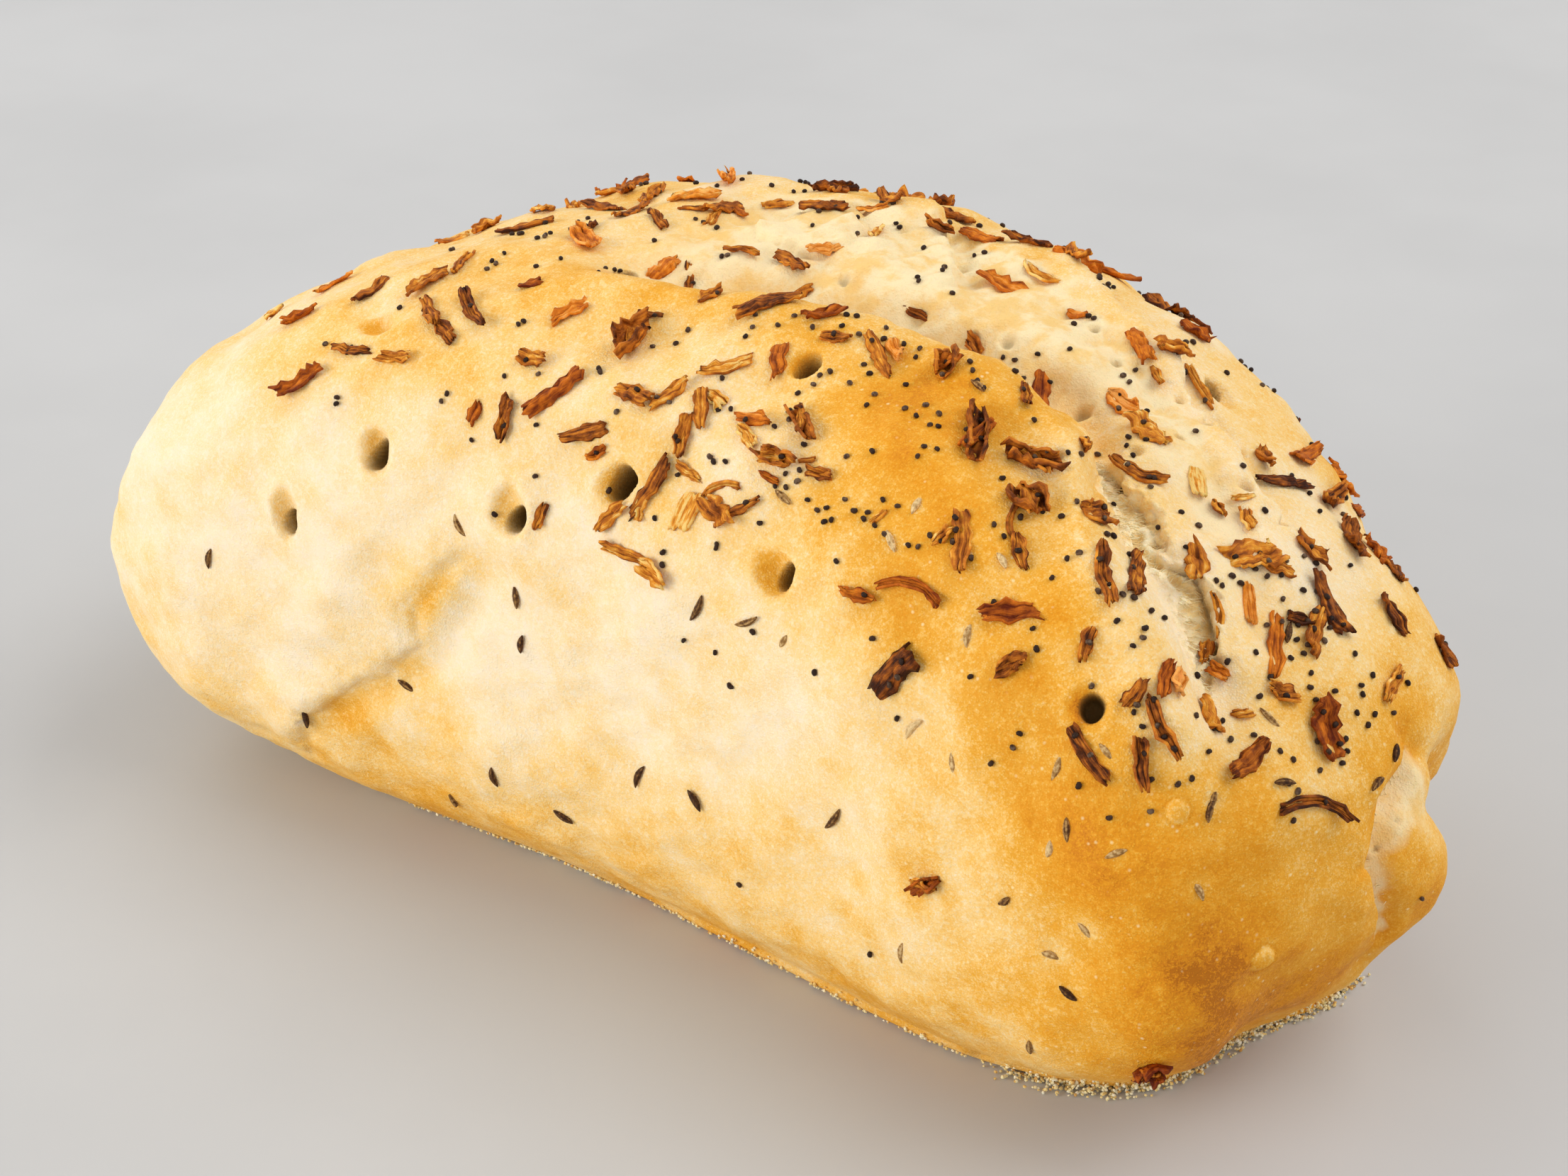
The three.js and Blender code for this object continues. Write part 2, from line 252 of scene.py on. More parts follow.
def doughPoints(directions):
    points = plainDough(directions)
    ball = onBall(points)
    outward = unit(ball / doughSize)
    lift = np.zeros(len(points))
    for azimuth, elevation, spread, height in swells:
        angle = np.degrees(np.arccos(np.clip(ball @ heading(azimuth, elevation), -1, 1)))
        lift += height * np.exp(-((angle / spread) ** 2) / 2)
    points = points + outward * lift[:, None]
    points = points + outward * (splitRelief(points) + foldRelief(points))[:, None]
    turn = np.degrees(np.arctan2(points[:, 1], points[:, 0]))
    spread = np.interp(turn, foot["turns"], foot["spread"]) * (1 - ease(*foot["height"], points[:, 2]))
    points[:, :2] *= (1 + spread)[:, None]
    points[:, 2] = np.maximum(points[:, 2], 0.0)
    return points


# Outward normals of the dough from its own slope.
def doughNormals(directions, points, step=0.006):
    sideways = unit(np.cross((0.0, 0.0, 1.0), directions) + (1e-6, 0, 0))
    upwards = np.cross(directions, sideways)
    along = doughPoints(unit(directions + step * sideways)) - points
    across = doughPoints(unit(directions + step * upwards)) - points
    normals = np.cross(along, across)
    flat = np.linalg.norm(normals, axis=1) < 1e-9
    normals[flat] = (0, 0, -1)
    return unit(normals)


waveCount = 26


# A smooth wandering value with a spread of 1 and lumps of the given breadth; grain stretches it along a direction.
def wander(points, breadth, seed, grain=None, stretch=1.0):
    draw = np.random.default_rng(seed)
    waves = unit(draw.normal(size=(waveCount, 3))) * draw.uniform(0.6, 1.5, (waveCount, 1)) * 2 * math.pi / breadth
    phases = draw.uniform(0, 2 * math.pi, waveCount)
    if grain is not None:
        run = (points * grain).sum(axis=1, keepdims=True)
        points = points + (1 / stretch - 1) * run * grain
    return np.cos(points @ waves.T + phases).sum(axis=1) / math.sqrt(waveCount / 2)


toMiddle = np.array([*dough["middle"], 0.0])
eyePlace = np.array(camera.location) * 1000 + toMiddle
eyeTurn = np.array(camera.matrix_world.to_3x3())


# A place of the dough, which is fitted about another origin, in the part's own frame and in metres.
def inFrame(points):
    return (points - toMiddle) * mm


ballMesh = bmesh.new()
bmesh.ops.create_icosphere(ballMesh, subdivisions=6, radius=1.0)
roughDirections = np.array([v.co for v in ballMesh.verts], float)
roughPoints = doughPoints(roughDirections)
roughFaces = [[v.index for v in face.verts] for face in ballMesh.faces]
roughTree = BVHTree.FromPolygons([tuple(p) for p in roughPoints], roughFaces)
ballMesh.free()


# A place just past the loaf's edge is pulled in, a share of the way at a time, until it meets the dough.
pullIn = {"steps": 40, "share": 0.008, "towards": (1100, 850)}


# The spot of the dough under a place of the picture: point, normal, sight line and size of a pixel there.
def spot(px, py):
    width, height = viewpoint["pixels"]
    focal = viewpoint["lens"] / viewpoint["sensor"] * width
    inX, inY = pullIn["towards"]
    for pull in range(pullIn["steps"]):
        share = pull * pullIn["share"]
        x = px + (inX - px) * share
        y = py + (inY - py) * share
        sight = unit(eyeTurn @ np.array([(x - width / 2) / focal, -(y - height / 2) / focal, -1.0]))
        hit, normal, index, distance = roughTree.ray_cast(Vector(eyePlace), Vector(sight))
        if hit is not None:
            return np.array(hit), np.array(normal), sight, distance / focal
    raise ValueError(f"no dough under {px}, {py}")


def spotsOf(places):
    return np.array([spot(px, py)[0] for px, py in places])


# Rows that start with a place of the picture, with the spot of the dough there in its stead.
def placed(rows):
    return [(spot(px, py)[0], *rest) for px, py, *rest in rows]


# Where the dough turns away from the view, or is less than limit in millimetres towards it.
def facesAway(points, limit):
    return ((eyePlace - points) * onBall(points)).sum(axis=1) < limit


# A direction along the crust that runs at the given angle in the picture, and how much it is foreshortened.
def alongCrust(normal, sight, angle):
    a = math.radians(angle)
    level = eyeTurn @ np.array([math.cos(a), -math.sin(a), 0.0])
    level = unit(level - (level @ sight) * sight)
    facing = min(sight @ normal, -0.3)
    run = level - (level @ normal) / facing * sight
    run = run - (run @ normal) * normal
    return unit(run), min(np.linalg.norm(run), 1.7)


print("dough form ready")


# Skewer holes, each a funnel and a bore: place in the picture, half length, half width, angle, depth
skewerHoles = [
    ((401, 721, 5.4, 3.4, 82, 2.6), (405, 739, 2.3, 1.8, 70, 7.0)),
    ((526, 635, 5.0, 3.6, 80, 2.6), (527, 641, 3.1, 2.2, -68, 7.0)),
    ((717, 721, 5.2, 4.4, 75, 2.6), (725, 734, 2.7, 2.3, -40, 6.5)),
    ((868, 686, 4.6, 3.9, -35, 2.0), (873, 683, 3.5, 2.5, -52, 7.5)),
    ((1090, 809, 4.8, 4.2, 70, 2.4), (1101, 815, 2.8, 2.0, -58, 7.0)),
    ((1134, 516, 3.8, 3.0, -45, 1.4), (1138, 517, 3.2, 2.2, -42, 8)),
    ((875, 390, 5.0, 4.2, 0, 2.6), (882, 388, 2.8, 2.3, -50, 6.5)),
    ((536, 456, 4.6, 3.2, -10, 1.8), (548, 460, 1.4, 1.0, 0, 1.2)),
    ((1536, 996, 3.9, 3.6, 80, 0.7), (1539, 998, 2.5, 2.0, -70, 6.5)),
    ((1722, 549, 4.6, 2.8, 50, 1.6), (1715, 541, 2.4, 1.5, 50, 6.5)),
]

# Pits of the crumb and the heel: place in the picture, radius, depth
pits = [
    (1927, 1216, 1.5, 1.6), (1972, 1158, 0.9, 0.9), (1952, 1124, 0.9, 0.8), (1944, 1200, 0.9, 0.8),
    (1931, 1300, 0.8, 1.0), (1423, 480, 2.0, 1.6), (1524, 573, 2.6, 2.0), (1546, 462, 1.6, 1.4),
    (1372, 470, 1.4, 1.0), (1493, 640, 1.6, 1.2), (1746, 640, 2.2, 2.2), (1758, 690, 1.8, 2.0),
    (1702, 600, 1.6, 1.6), (1812, 740, 1.8, 1.8), (1666, 560, 1.5, 1.4), (1356, 366, 2.2, 1.8),
    (1660, 622, 1.4, 1.2), (1574, 512, 1.6, 1.2), (1600, 640, 1.5, 1.4), (1190, 392, 1.8, 1.0),
]

# The torn crack: place in the picture, half width, depth
tornCrack = [
    (1543, 648, 1.8, 0.8), (1560, 682, 2.3, 1.5), (1580, 710, 3.2, 1.9), (1599, 741, 5.0, 1.9),
    (1606, 770, 4.3, 1.8), (1620, 797, 1.9, 1.0), (1650, 808, 1.3, 0.8), (1676, 822, 2.6, 1.7),
    (1681, 846, 3.1, 2.2), (1685, 872, 3.3, 2.5), (1692, 898, 3.0, 2.6), (1699, 926, 2.4, 2.4),
    (1703, 950, 1.4, 1.4), (1706, 990, 0.4, 0.6),
]

# Edges where one layer of dough lies over another: the left side, in the order of the places, stands up. One runs
# along the front lip, between two lengths of the loaf, and the others through places of the picture.
ledges = {
    "frontLip": {
        "alongLip": (75, -8),
        "step": 2.2, "reach": 8.0, "edge": 1.2, "ragged": 0.8,
    },
    "paleFlap": {
        "path": [(1330, 415), (1348, 392), (1352, 368), (1348, 346), (1335, 320), (1317, 300), (1290, 272),
                 (1262, 254)],
        "step": 2.2, "reach": 9.0, "edge": 0.6, "ragged": 1.0,
    },
    "paleTongue": {
        "path": [(1060, 305), (1075, 330), (1105, 346), (1150, 356), (1195, 349), (1212, 322), (1204, 290)],
        "step": 1.6, "reach": 8.0, "edge": 0.9, "ragged": 0.8,
    },
    "farCrust": {
        "path": [(1831, 775), (1822, 745), (1800, 716), (1770, 690), (1744, 648), (1716, 606), (1690, 570),
                 (1660, 520), (1634, 480), (1590, 440), (1545, 400), (1480, 352)],
        "step": 2.2, "reach": 8.0, "edge": 0.7, "ragged": 1.0,
    },
    "crackFlap": {
        "path": [(1566, 654), (1587, 698), (1619, 718), (1639, 742), (1643, 766), (1634, 792)],
        "step": 1.6, "reach": 7.0, "edge": 0.5, "ragged": 1.0,
    },
    "crackFlapLow": {
        "path": [(1690, 808), (1704, 838), (1710, 866), (1716, 890), (1720, 912), (1716, 938)],
        "step": 1.2, "reach": 6.0, "edge": 0.5, "ragged": 0.9,
    },
    "heelEdge": {
        "path": [(1932, 1350), (1938, 1318), (1933, 1280), (1922, 1240), (1915, 1212), (1926, 1174), (1940, 1124),
                 (1966, 1078), (1984, 1046)],
        "step": 2.6, "reach": 9.0, "edge": 0.8, "ragged": 0.5,
    },
    "endFold": {
        "path": [(428, 1080), (424, 1040), (430, 1000), (483, 972), (544, 944), (577, 906), (570, 862), (598, 824),
                 (640, 780), (655, 744)],
        "step": 1.4, "reach": 8.0, "edge": 2.2, "ragged": 0.5,
    },
}

# Small sunken places with pale rims, mostly round seeds that sit in the crust: place in the picture, radius
sunken = [
    (1691, 1257, 2.1), (1530, 1309, 2.5), (1480, 1345, 2.4), (1577, 1206, 2.3), (1461, 1477, 1.3), (1498, 904, 1.2),
    (1362, 901, 1.8), (1491, 1083, 2.2), (1413, 792, 1.2), (1257, 764, 1.6), (1295, 712, 1.8), (1445, 1045, 1.4),
    (1290, 1022, 1.4), (1711, 1130, 2.4), (660, 830, 1.2), (735, 912, 1.2), (430, 1012, 1.4), (780, 950, 1.2),
    (1520, 748, 0.8), (1261, 593, 0.7), (1473, 1443, 0.8), (1629, 1386, 0.8), (1294, 798, 0.7),
]

# Where the heel draws in a little: place in mm, radius, depth
dents = [((133.0, 1.0, 23.5), 15, 3.6), ((136.0, 11.5, 38.5), 15, 2.4)]

# Bubbles with thin pale skins and sharp rims: place in the picture, radius, height
bubbles = [(1783, 1355, 2.3, 0.6), (1662, 1145, 1.9, 0.45)]

# Low blisters and lumps: place in the picture, radius, height
blisters = [
    (1372, 905, 1.5, 0.3), (1700, 1215, 1.6, 0.25), (1623, 1506, 3.4, 0.7), (1600, 745, 1.2, 0.35),
    (1330, 1220, 1.5, 0.3), (1745, 940, 3.4, 0.5), (1850, 960, 3.0, 0.4), (1365, 1480, 2.6, 0.8),
    (1330, 1460, 2.0, 0.6),
]

# Where the crust is browner (+) or paler (-), partly from the oven and partly painted shade, most of all on the near
# end's underside and right edges: place in the picture, radius, amount
browningAndShade = [
    (1330, 640, 20, 0.26), (1240, 560, 14, 0.11), (1345, 750, 16, 0.15), (1470, 935, 13, 0.19),
    (1370, 846, 8, -0.10), (1500, 1120, 14, 0.25), (1320, 1090, 12, -0.05), (1570, 1240, 14, 0.20),
    (1640, 1370, 15, 0.11), (1740, 1400, 12, 0.14), (1560, 1450, 18, 0.10), (1450, 1440, 14, 0.06),
    (1410, 1310, 9, 0.08), (1250, 1250, 22, -0.06), (1830, 1270, 16, 0.16), (1900, 1225, 9, -0.12),
    (1965, 1000, 13, 0.18), (1990, 1240, 12, 0.10), (1990, 1300, 9, 0.18), (1163, 706, 3, 0.14),
    (1810, 1440, 11, 0.26), (1715, 1490, 10, 0.30), (1890, 1370, 9, 0.15), (640, 450, 18, 0.08),
    (290, 540, 12, 0.06), (860, 395, 11, 0.08), (740, 340, 24, -0.08), (980, 275, 18, -0.14), (950, 480, 12, -0.08),
    (1235, 320, 8, 0.08), (1600, 1080, 14, 0.04), (1100, 1330, 10, -0.06), (300, 650, 34, -0.22),
    (480, 760, 24, -0.18), (850, 960, 30, -0.26), (660, 980, 20, -0.14), (1080, 1000, 26, -0.18),
    (1180, 920, 16, -0.06), (950, 760, 16, -0.12), (598, 862, 6, 0.16), (500, 1030, 9, 0.20), (478, 1042, 8, -0.22),
    (380, 900, 16, -0.10), (670, 815, 12, -0.12), (855, 910, 10, -0.08), (570, 585, 14, -0.07),
    (620, 650, 15, -0.12), (750, 650, 15, -0.12), (850, 600, 13, -0.07), (760, 740, 12, -0.12), (950, 702, 7, 0.12),
    (1140, 620, 10, -0.12), (1180, 760, 12, -0.04), (1520, 620, 8, -0.08), (1450, 600, 7, -0.06),
    (1530, 850, 6, 0.14), (1740, 1290, 16, 0.06), (1712, 1130, 12, 0.07), (1560, 760, 12, -0.12),
    (1040, 560, 12, -0.12), (1000, 640, 12, -0.10), (1790, 620, 9, 0.10), (1850, 660, 16, -0.14),
    (1950, 800, 16, -0.14), (1650, 450, 14, -0.16), (1710, 540, 12, -0.16), (1710, 600, 9, -0.08),
    (1480, 330, 14, -0.10), (560, 1120, 16, 0.08), (900, 1240, 16, 0.08), (1200, 1390, 14, 0.08),
    (1780, 860, 24, -0.16), (1805, 750, 12, -0.10), (1900, 720, 10, -0.10), (1930, 890, 14, -0.20),
    (1700, 1010, 14, -0.14), (1650, 860, 12, -0.16), (1720, 720, 12, -0.14), (430, 950, 16, -0.08),
    (1480, 1180, 10, 0.04), (1425, 650, 8, -0.20), (1610, 965, 14, -0.24), (1520, 790, 8, 0.12),
    (1520, 860, 6, 0.08), (760, 455, 11, -0.12), (665, 520, 12, 0.09), (900, 715, 8, 0.08), (950, 590, 8, 0.08),
    (1045, 845, 8, 0.06), (1330, 1370, 10, 0.07), (1240, 875, 12, 0.09), (1330, 1485, 10, 0.08),
    (1710, 1365, 9, 0.09), (1425, 395, 8, 0.08), (1660, 590, 14, -0.08), (1900, 930, 12, -0.05),
    (1320, 905, 8, 0.05), (1615, 910, 6, 0.06), (1425, 980, 8, 0.06), (1425, 840, 7, -0.10), (1000, 262, 14, -0.10),
    (1180, 262, 12, -0.06), (1690, 470, 14, -0.10), (1640, 600, 12, -0.08), (1590, 700, 9, -0.08),
    (1850, 750, 12, -0.08), (380, 975, 12, -0.06), (570, 680, 12, -0.06), (950, 785, 10, -0.06),
    (1715, 1500, 8, 0.08), (1240, 880, 8, 0.03),
]

# The same for the sides that the picture doesn't show: place in mm, radius, amount
hiddenBrowning = [
    ((20, 78, 70), 30, 0.14), ((-70, 60, 60), 28, 0.08), ((80, 62, 66), 24, 0.12), ((-20, 86, 40), 26, -0.16),
    ((60, 84, 30), 24, -0.10), ((-90, 40, 80), 22, 0.12), ((112, 30, 60), 18, 0.08), ((-110, 30, 40), 22, -0.12),
]


def runOf(line):
    return np.concatenate([[0], np.cumsum(np.linalg.norm(np.diff(line, axis=0), axis=1))])


# Values given at each place of a line, read at a share of its length.
def stepTable(line, values):
    run = runOf(line)
    return lambda along: np.interp(along * run[-1], run, values)


crackLine = spotsOf([row[:2] for row in tornCrack])
crackHalf = stepTable(crackLine, [row[2] for row in tornCrack])
crackDeep = stepTable(crackLine, [row[3] for row in tornCrack])
for ledge in ledges.values():
    if "alongLip" in ledge:
        lengthwise = np.linspace(*ledge["alongLip"], 18)
        falls = [roughTree.ray_cast(Vector((x, lipLine(x) + 1.2, 200.0)), Vector((0, 0, -1)))[0] for x in lengthwise]
        ledge["line"] = np.array(falls)
    else:
        ledge["line"] = spotsOf(ledge["path"])

# How broad the pale crumb beside the heel's edge is, from its foot up.
heelPale = stepTable(ledges["heelEdge"]["line"], [1.2, 2.0, 3.0, 4.0, 5.0, 6.5, 10.0, 13.0, 7.5])


# An oval on the crust: centre, outward normal, its long and short directions over their half sizes, depth, and the
# picture's level direction over half its length.
def ovalOn(px, py, half, halfAcross, angle, depth):
    point, normal, sight, pixel = spot(px, py)
    run, stretch = alongCrust(normal, sight, angle)
    level = alongCrust(normal, sight, 0)[0]
    return point, normal, run / half, np.cross(normal, run) / halfAcross, depth, level / half


def ovalReach(points, oval):
    offset = points - oval[0]
    flat = np.hypot(offset @ oval[2], offset @ oval[3])
    return flat + 9 * (np.abs(offset @ oval[1]) > 9)


holeOvals = [(ovalOn(*funnel), ovalOn(*bore)) for funnel, bore in skewerHoles]
pitSpots, blisterSpots, bubbleSpots, paleSpots = placed(pits), placed(blisters), placed(bubbles), placed(sunken)
browningAndShadeSpots = placed(browningAndShade) + hiddenBrowning


# The crust: how finely it is cut up, the edge length of each region in millimetres, then the heights of its relief
crust = {
    "detail": 7, "rounds": 3, "baseBelow": 0.05,
    "fineHole": 0.42, "fineFunnel": 0.8, "fineCrack": 0.40, "finePit": 0.6, "fineBubble": 0.45,
    "fineLedge": 0.75, "fineSplit": 1.1, "fineFoot": 0.9, "fineElsewhere": 2.0, "fineBase": 9.0,
    "lumps": 0.55, "dimples": 0.16,
    "furrow": 1.3, "folds": 0.46, "tears": 0.19, "threads": 0.07,
}
crumbGrain = unit(np.array([0.35, 1.0, 0.1]))

# The torn crack: how ragged, how deep on its left and how much deeper on its right, its lumps, the slit in it, and
# the painted shade down that slit
crack = {
    "ragged": 0.28, "left": 0.24, "right": 0.52, "fibre": 0.19, "lumps": 0.38, "grains": 0.10,
    "slit": 1.5, "slitShade": 0.34, "rim": 0.30,
}
crackGrain = unit(np.array([0.6, 0.75, 0.3]))

# How brown each part of the crust is, and how much its clouds and mottling change that. The share in the skewer
# funnels is painted shade, and the band beside the end fold is partly painted shade.
bakeLevels = {
    "plain": 0.40, "crown": 0.05, "foot": 0.08, "nearEnd": 0.12, "farEnd": -0.16, "foldBrownAndShade": 0.15, "bowlShade": 0.32,
    "clouds": 0.05, "mottle": 0.03, "seedPale": 0.22,
}


# The edge length that the crust needs at each point.
def wantedEdge(points, normals):
    wanted = np.full(len(points), crust["fineElsewhere"])
    wanted[points[:, 2] < crust["baseBelow"]] = crust["fineBase"]
    turn = np.degrees(np.arctan2(points[:, 1], points[:, 0]))
    nearFoot = (points[:, 2] > crust["baseBelow"]) & (points[:, 2] < 7) & (turn > -45) & (turn < 20)
    wanted[nearFoot] = crust["fineFoot"]
    behind, breadth, opened = splitPlace(points)
    inSplit = (behind > -4) & (behind < breadth + 4) & (opened > 0.05)
    wanted[inSplit] = np.minimum(wanted[inSplit], crust["fineSplit"])
    for ledge in ledges.values():
        distance, along, side = nearLine(points, ledge["line"], normals)
        wanted = np.where(distance < 3.5, np.minimum(wanted, crust["fineLedge"]), wanted)
    distance, along, side = nearLine(points, crackLine, normals)
    wanted = np.where(distance < crackHalf(along) + 2.2, np.minimum(wanted, crust["fineCrack"]), wanted)
    for funnel, bore in holeOvals:
        wanted = np.where(ovalReach(points, funnel) < 1.15, np.minimum(wanted, crust["fineFunnel"]), wanted)
        wanted = np.where(ovalReach(points, bore) < 1.3, np.minimum(wanted, crust["fineHole"]), wanted)
    for spots, reach, fine in ((pitSpots, 1.8, crust["finePit"]), (bubbleSpots, 1.5, crust["fineBubble"])):
        for centre, radius, height in spots:
            near = away(points, centre) < radius * reach
            wanted[near] = np.minimum(wanted[near], fine)
    return wanted


def ballWithDetail():
    bm = bmesh.new()
    bmesh.ops.create_icosphere(bm, subdivisions=crust["detail"], radius=1.0)
    for turn in range(crust["rounds"]):
        directions = unit(np.array([v.co for v in bm.verts], float))
        points = doughPoints(directions)
        wanted = wantedEdge(points, onBall(points))
        bm.verts.index_update()
        pairs = np.array([[e.verts[0].index, e.verts[1].index] for e in bm.edges])
        lengths = np.linalg.norm(points[pairs[:, 0]] - points[pairs[:, 1]], axis=1)
        long = lengths > 1.35 * np.minimum(wanted[pairs[:, 0]], wanted[pairs[:, 1]])
        edges = [edge for edge, tooLong in zip(bm.edges, long) if tooLong]
        if not edges:
            break
        bmesh.ops.subdivide_edges(bm, edges=edges, cuts=1, use_grid_fill=True)
        bmesh.ops.triangulate(bm, faces=[f for f in bm.faces if len(f.verts) > 3])
        print("crust detail round", turn + 1, len(bm.faces), "faces")
    return bm


# Layers of dough: each edge stands up on its left and falls off with a ragged rim.
def ledgeRelief(points, normals):
    lift = np.zeros(len(points))
    for k, ledge in enumerate(ledges.values()):
        distance, along, side = nearLine(points, ledge["line"], normals)
        aside = side * distance + ledge["ragged"] * wander(points, 5.0, 40 + k) * 0.6
        ends = ease(0, 0.12, along) * (1 - ease(0.88, 1, along))
        inside = ease(-ledge["edge"], ledge["edge"], aside) * (1 - ease(ledge["edge"], ledge["reach"], aside))
        under = (1 - ease(-ledge["edge"], 0.3, aside)) * (1 - ease(0, ledge["reach"] * 0.7, -aside))
        lift += ends * ledge["step"] * (0.65 * inside - 0.45 * under) * (distance < ledge["reach"] * 1.6)
    return lift


# How far a point is from the crack's line, how far along it and across it (-1 to 1), and how much it is inside.
def crackShape(points, normals):
    distance, along, side = nearLine(points, crackLine, normals)
    half = crackHalf(along) * (1 + crack["ragged"] * wander(points, 3.2, 61))
    inside = 1 - ease(0.55, 1.12, distance / np.maximum(half, 0.3))
    across = side * distance / np.maximum(crackHalf(along), 0.4)
    return distance, along, across, inside


# The crumb has parted furthest along the right side, at the top and in the lower half.
def crackSlit(across, along):
    upper = 0.8 * bump(along - 0.14, 0.09)
    lower = ease(0.48, 0.56, along) * (1 - ease(0.84, 0.92, along))
    return bump(across - 0.62, 0.22) * np.maximum(upper, lower)


def crackRelief(points, normals):
    distance, along, across, inside = crackShape(points, normals)
    depth = crackDeep(along) * (crack["left"] + crack["right"] * ease(-0.6, 0.8, across))
    depth = depth + crack["fibre"] * wander(points, 1.1, 8, crackGrain, 3.0)
    depth = depth + crack["lumps"] * wander(points, 3.2, 10) + crack["grains"] * wander(points, 1.2, 11)
    depth = depth + crack["slit"] * crackSlit(across, along)
    rim = bump(distance - crackHalf(along) * 1.1, 0.8) * ease(0.02, 0.1, along) * (1 - ease(0.85, 1, along))
    return crack["rim"] * rim * (1 + wander(points, 2.4, 9)) - inside * depth


def crustRelief(points, normals):
    behind, breadth, opened = splitPlace(points)
    inSplit = opened * ease(-1.0, 3.0, behind) * (1 - ease(breadth - 3, breadth + 1, behind))
    calm = inSplit * (1 - 0.7 * ease(56, 84, points[:, 0]))
    lift = crust["lumps"] * wander(points, 26, 1) * ease(4, 20, points[:, 2])
    lift += crust["dimples"] * wander(points, 7, 2) * ease(3, 10, points[:, 2])
    lift -= crust["furrow"] * opened * bump(behind - 7, 7) * (1 - ease(60, 84, points[:, 0]))
    lift += calm * crust["folds"] * wander(points, 10, 3, crumbGrain, 1.6)
    lift += calm * crust["tears"] * wander(points, 3.6, 4, crumbGrain, 3.0)
    lift += calm * crust["threads"] * wander(points, 1.8, 5, crumbGrain, 3.0)
    lift += ledgeRelief(points, normals)
    for centre, radius, depth in pitSpots:
        reach = away(points, centre) * (1 + 0.15 * wander(points, 3, 77))
        lift -= depth * (1 - ease(0.25, 1.0, reach / radius))
    for centre, radius, height in blisterSpots:
        lift += height * (1 - ease(0.2, 1.0, away(points, centre) / radius))
    for centre, radius, depth in dents:
        lift -= depth * (1 - ease(0.1, 1.0, away(points, centre) / radius))
    for centre, radius, height in bubbleSpots:
        reach = away(points, centre) / radius
        lift += height * (1 - ease(0.55, 1.05, reach)) - 0.3 * height * bump(reach - 1.12, 0.12)
    for centre, radius in paleSpots:
        reach = away(points, centre)
        lift += 0.24 * bump(reach - radius, 0.3 * radius) - 0.30 * min(radius, 2) * bump(reach, 0.6 * radius)
    return lift + crackRelief(points, normals)


# Skewer holes: a soft funnel, and a bore that goes on down. Gives the way that each point sinks, the painted shade
# down each deeper bore, and the painted shade that turns the left side of each funnel golden.
def holeSink(points):
    sink = np.zeros_like(points)
    hollowShadeMask, bowlShade = np.zeros(len(points)), np.zeros(len(points))
    wobble = 1 + 0.05 * wander(points, 5, 90)
    for funnel, bore in holeOvals:
        wide = ovalReach(points, funnel) * wobble
        narrow = ovalReach(points, bore) * wobble
        cone = 1.1 * funnel[4] * np.clip(1 - wide ** 2, 0, 1) ** 1.4
        shaft = bore[4] * (1 - ease(0.62, 1.08, narrow))
        rim = 0.25 * bump(wide - 1.15, 0.22)
        sink -= (cone - rim)[:, None] * funnel[1] + shaft[:, None] * bore[1]
        # painted shade down each deeper bore
        hollowShadeMask = np.maximum(hollowShadeMask, (1 - ease(0.84, 1.12, narrow)) * min(max(bore[4] - 2.5, 0) / 4, 1))
        # painted shade makes the left side of each funnel the more golden one
        shadedLeft = np.clip(0.5 - np.clip((points - funnel[0]) @ funnel[5], -0.8, 0.8), 0, 1)
        bowlShade = np.maximum(bowlShade, (1 - ease(0.6, 1.12, wide)) * shadedLeft)
    return sink, hollowShadeMask, bowlShade


# How brown the crust is, with painted shade added on the left of the skewer funnels, beside the end fold and in
# some of the listed spots.
def bakeTone(points, normals, bowlShade):
    x, z = points[:, 0], points[:, 2]
    level = bakeLevels
    bake = level["plain"] + level["crown"] * ease(62, 96, z) + level["foot"] * (1 - ease(6, 32, z))
    bake = bake + level["nearEnd"] * ease(92, 122, x) + level["farEnd"] * ease(70, 110, -x)
    # beside the end fold, in the dent that falls away from it: browner crust and painted shade
    fold, along, side = nearLine(points, ledges["endFold"]["line"], normals)
    ends = ease(0, 0.1, along) * (1 - ease(0.85, 1, along))
    bake = bake + level["foldBrownAndShade"] * (side < 0) * bump(fold - 3.4, 3.4) * ends
    # spots of browner and paler crust, some of them painted shade
    for centre, radius, amount in browningAndShadeSpots:
        bake = bake + amount * bump(away(points, centre), radius)
    bake = bake + level["clouds"] * wander(points, 22, 14) + level["mottle"] * wander(points, 8, 15)
    for centre, radius, height in bubbleSpots:
        reach = away(points, centre) / radius * (1 + 0.05 * wander(points, 1.6, 78))
        skinned = (0.12 + 0.10 * bump(reach - 0.9, 0.12)) * (1 - ease(0.95, 1.08, reach))
        bake = bake - skinned + 0.06 * bump(reach - 1.18, 0.10)
    for centre, radius in paleSpots:
        bake = bake - level["seedPale"] * bump(away(points, centre), 0.9 * radius)
    # painted shade on the left of each skewer funnel
    return bake + level["bowlShade"] * bowlShade


# The pale stretched skin in the split and beside the heel.
def skinTone(points, normals):
    x = points[:, 0]
    behind, breadth, opened = splitPlace(points)
    rag = 1.6 * wander(points, 7, 16)
    share = behind / np.maximum(breadth, 1)
    skin = opened * ease(-0.5, 3.5, behind + rag * 0.5) * (1 - ease(breadth - 2, breadth + 1.5, behind + rag))
    tanCap = ease(52, 70, x + 3 * wander(points, 14, 17)) * (1 - ease(0.52, 0.80, share + 0.03 * rag))
    skin = skin * (1 - 0.92 * tanCap) * (1 - 0.8 * ease(88, 112, x))
    heel, along, side = nearLine(points, ledges["heelEdge"]["line"], normals)
    seamPale = (side < 0) * (1 - ease(0.6, 1.25, (heel + 0.7 * wander(points, 5, 19)) / heelPale(along)))
    seamPale = seamPale * ease(0.02, 0.10, along) * (1 - ease(0.93, 1, along))
    return np.maximum(skin, 0.9 * seamPale)
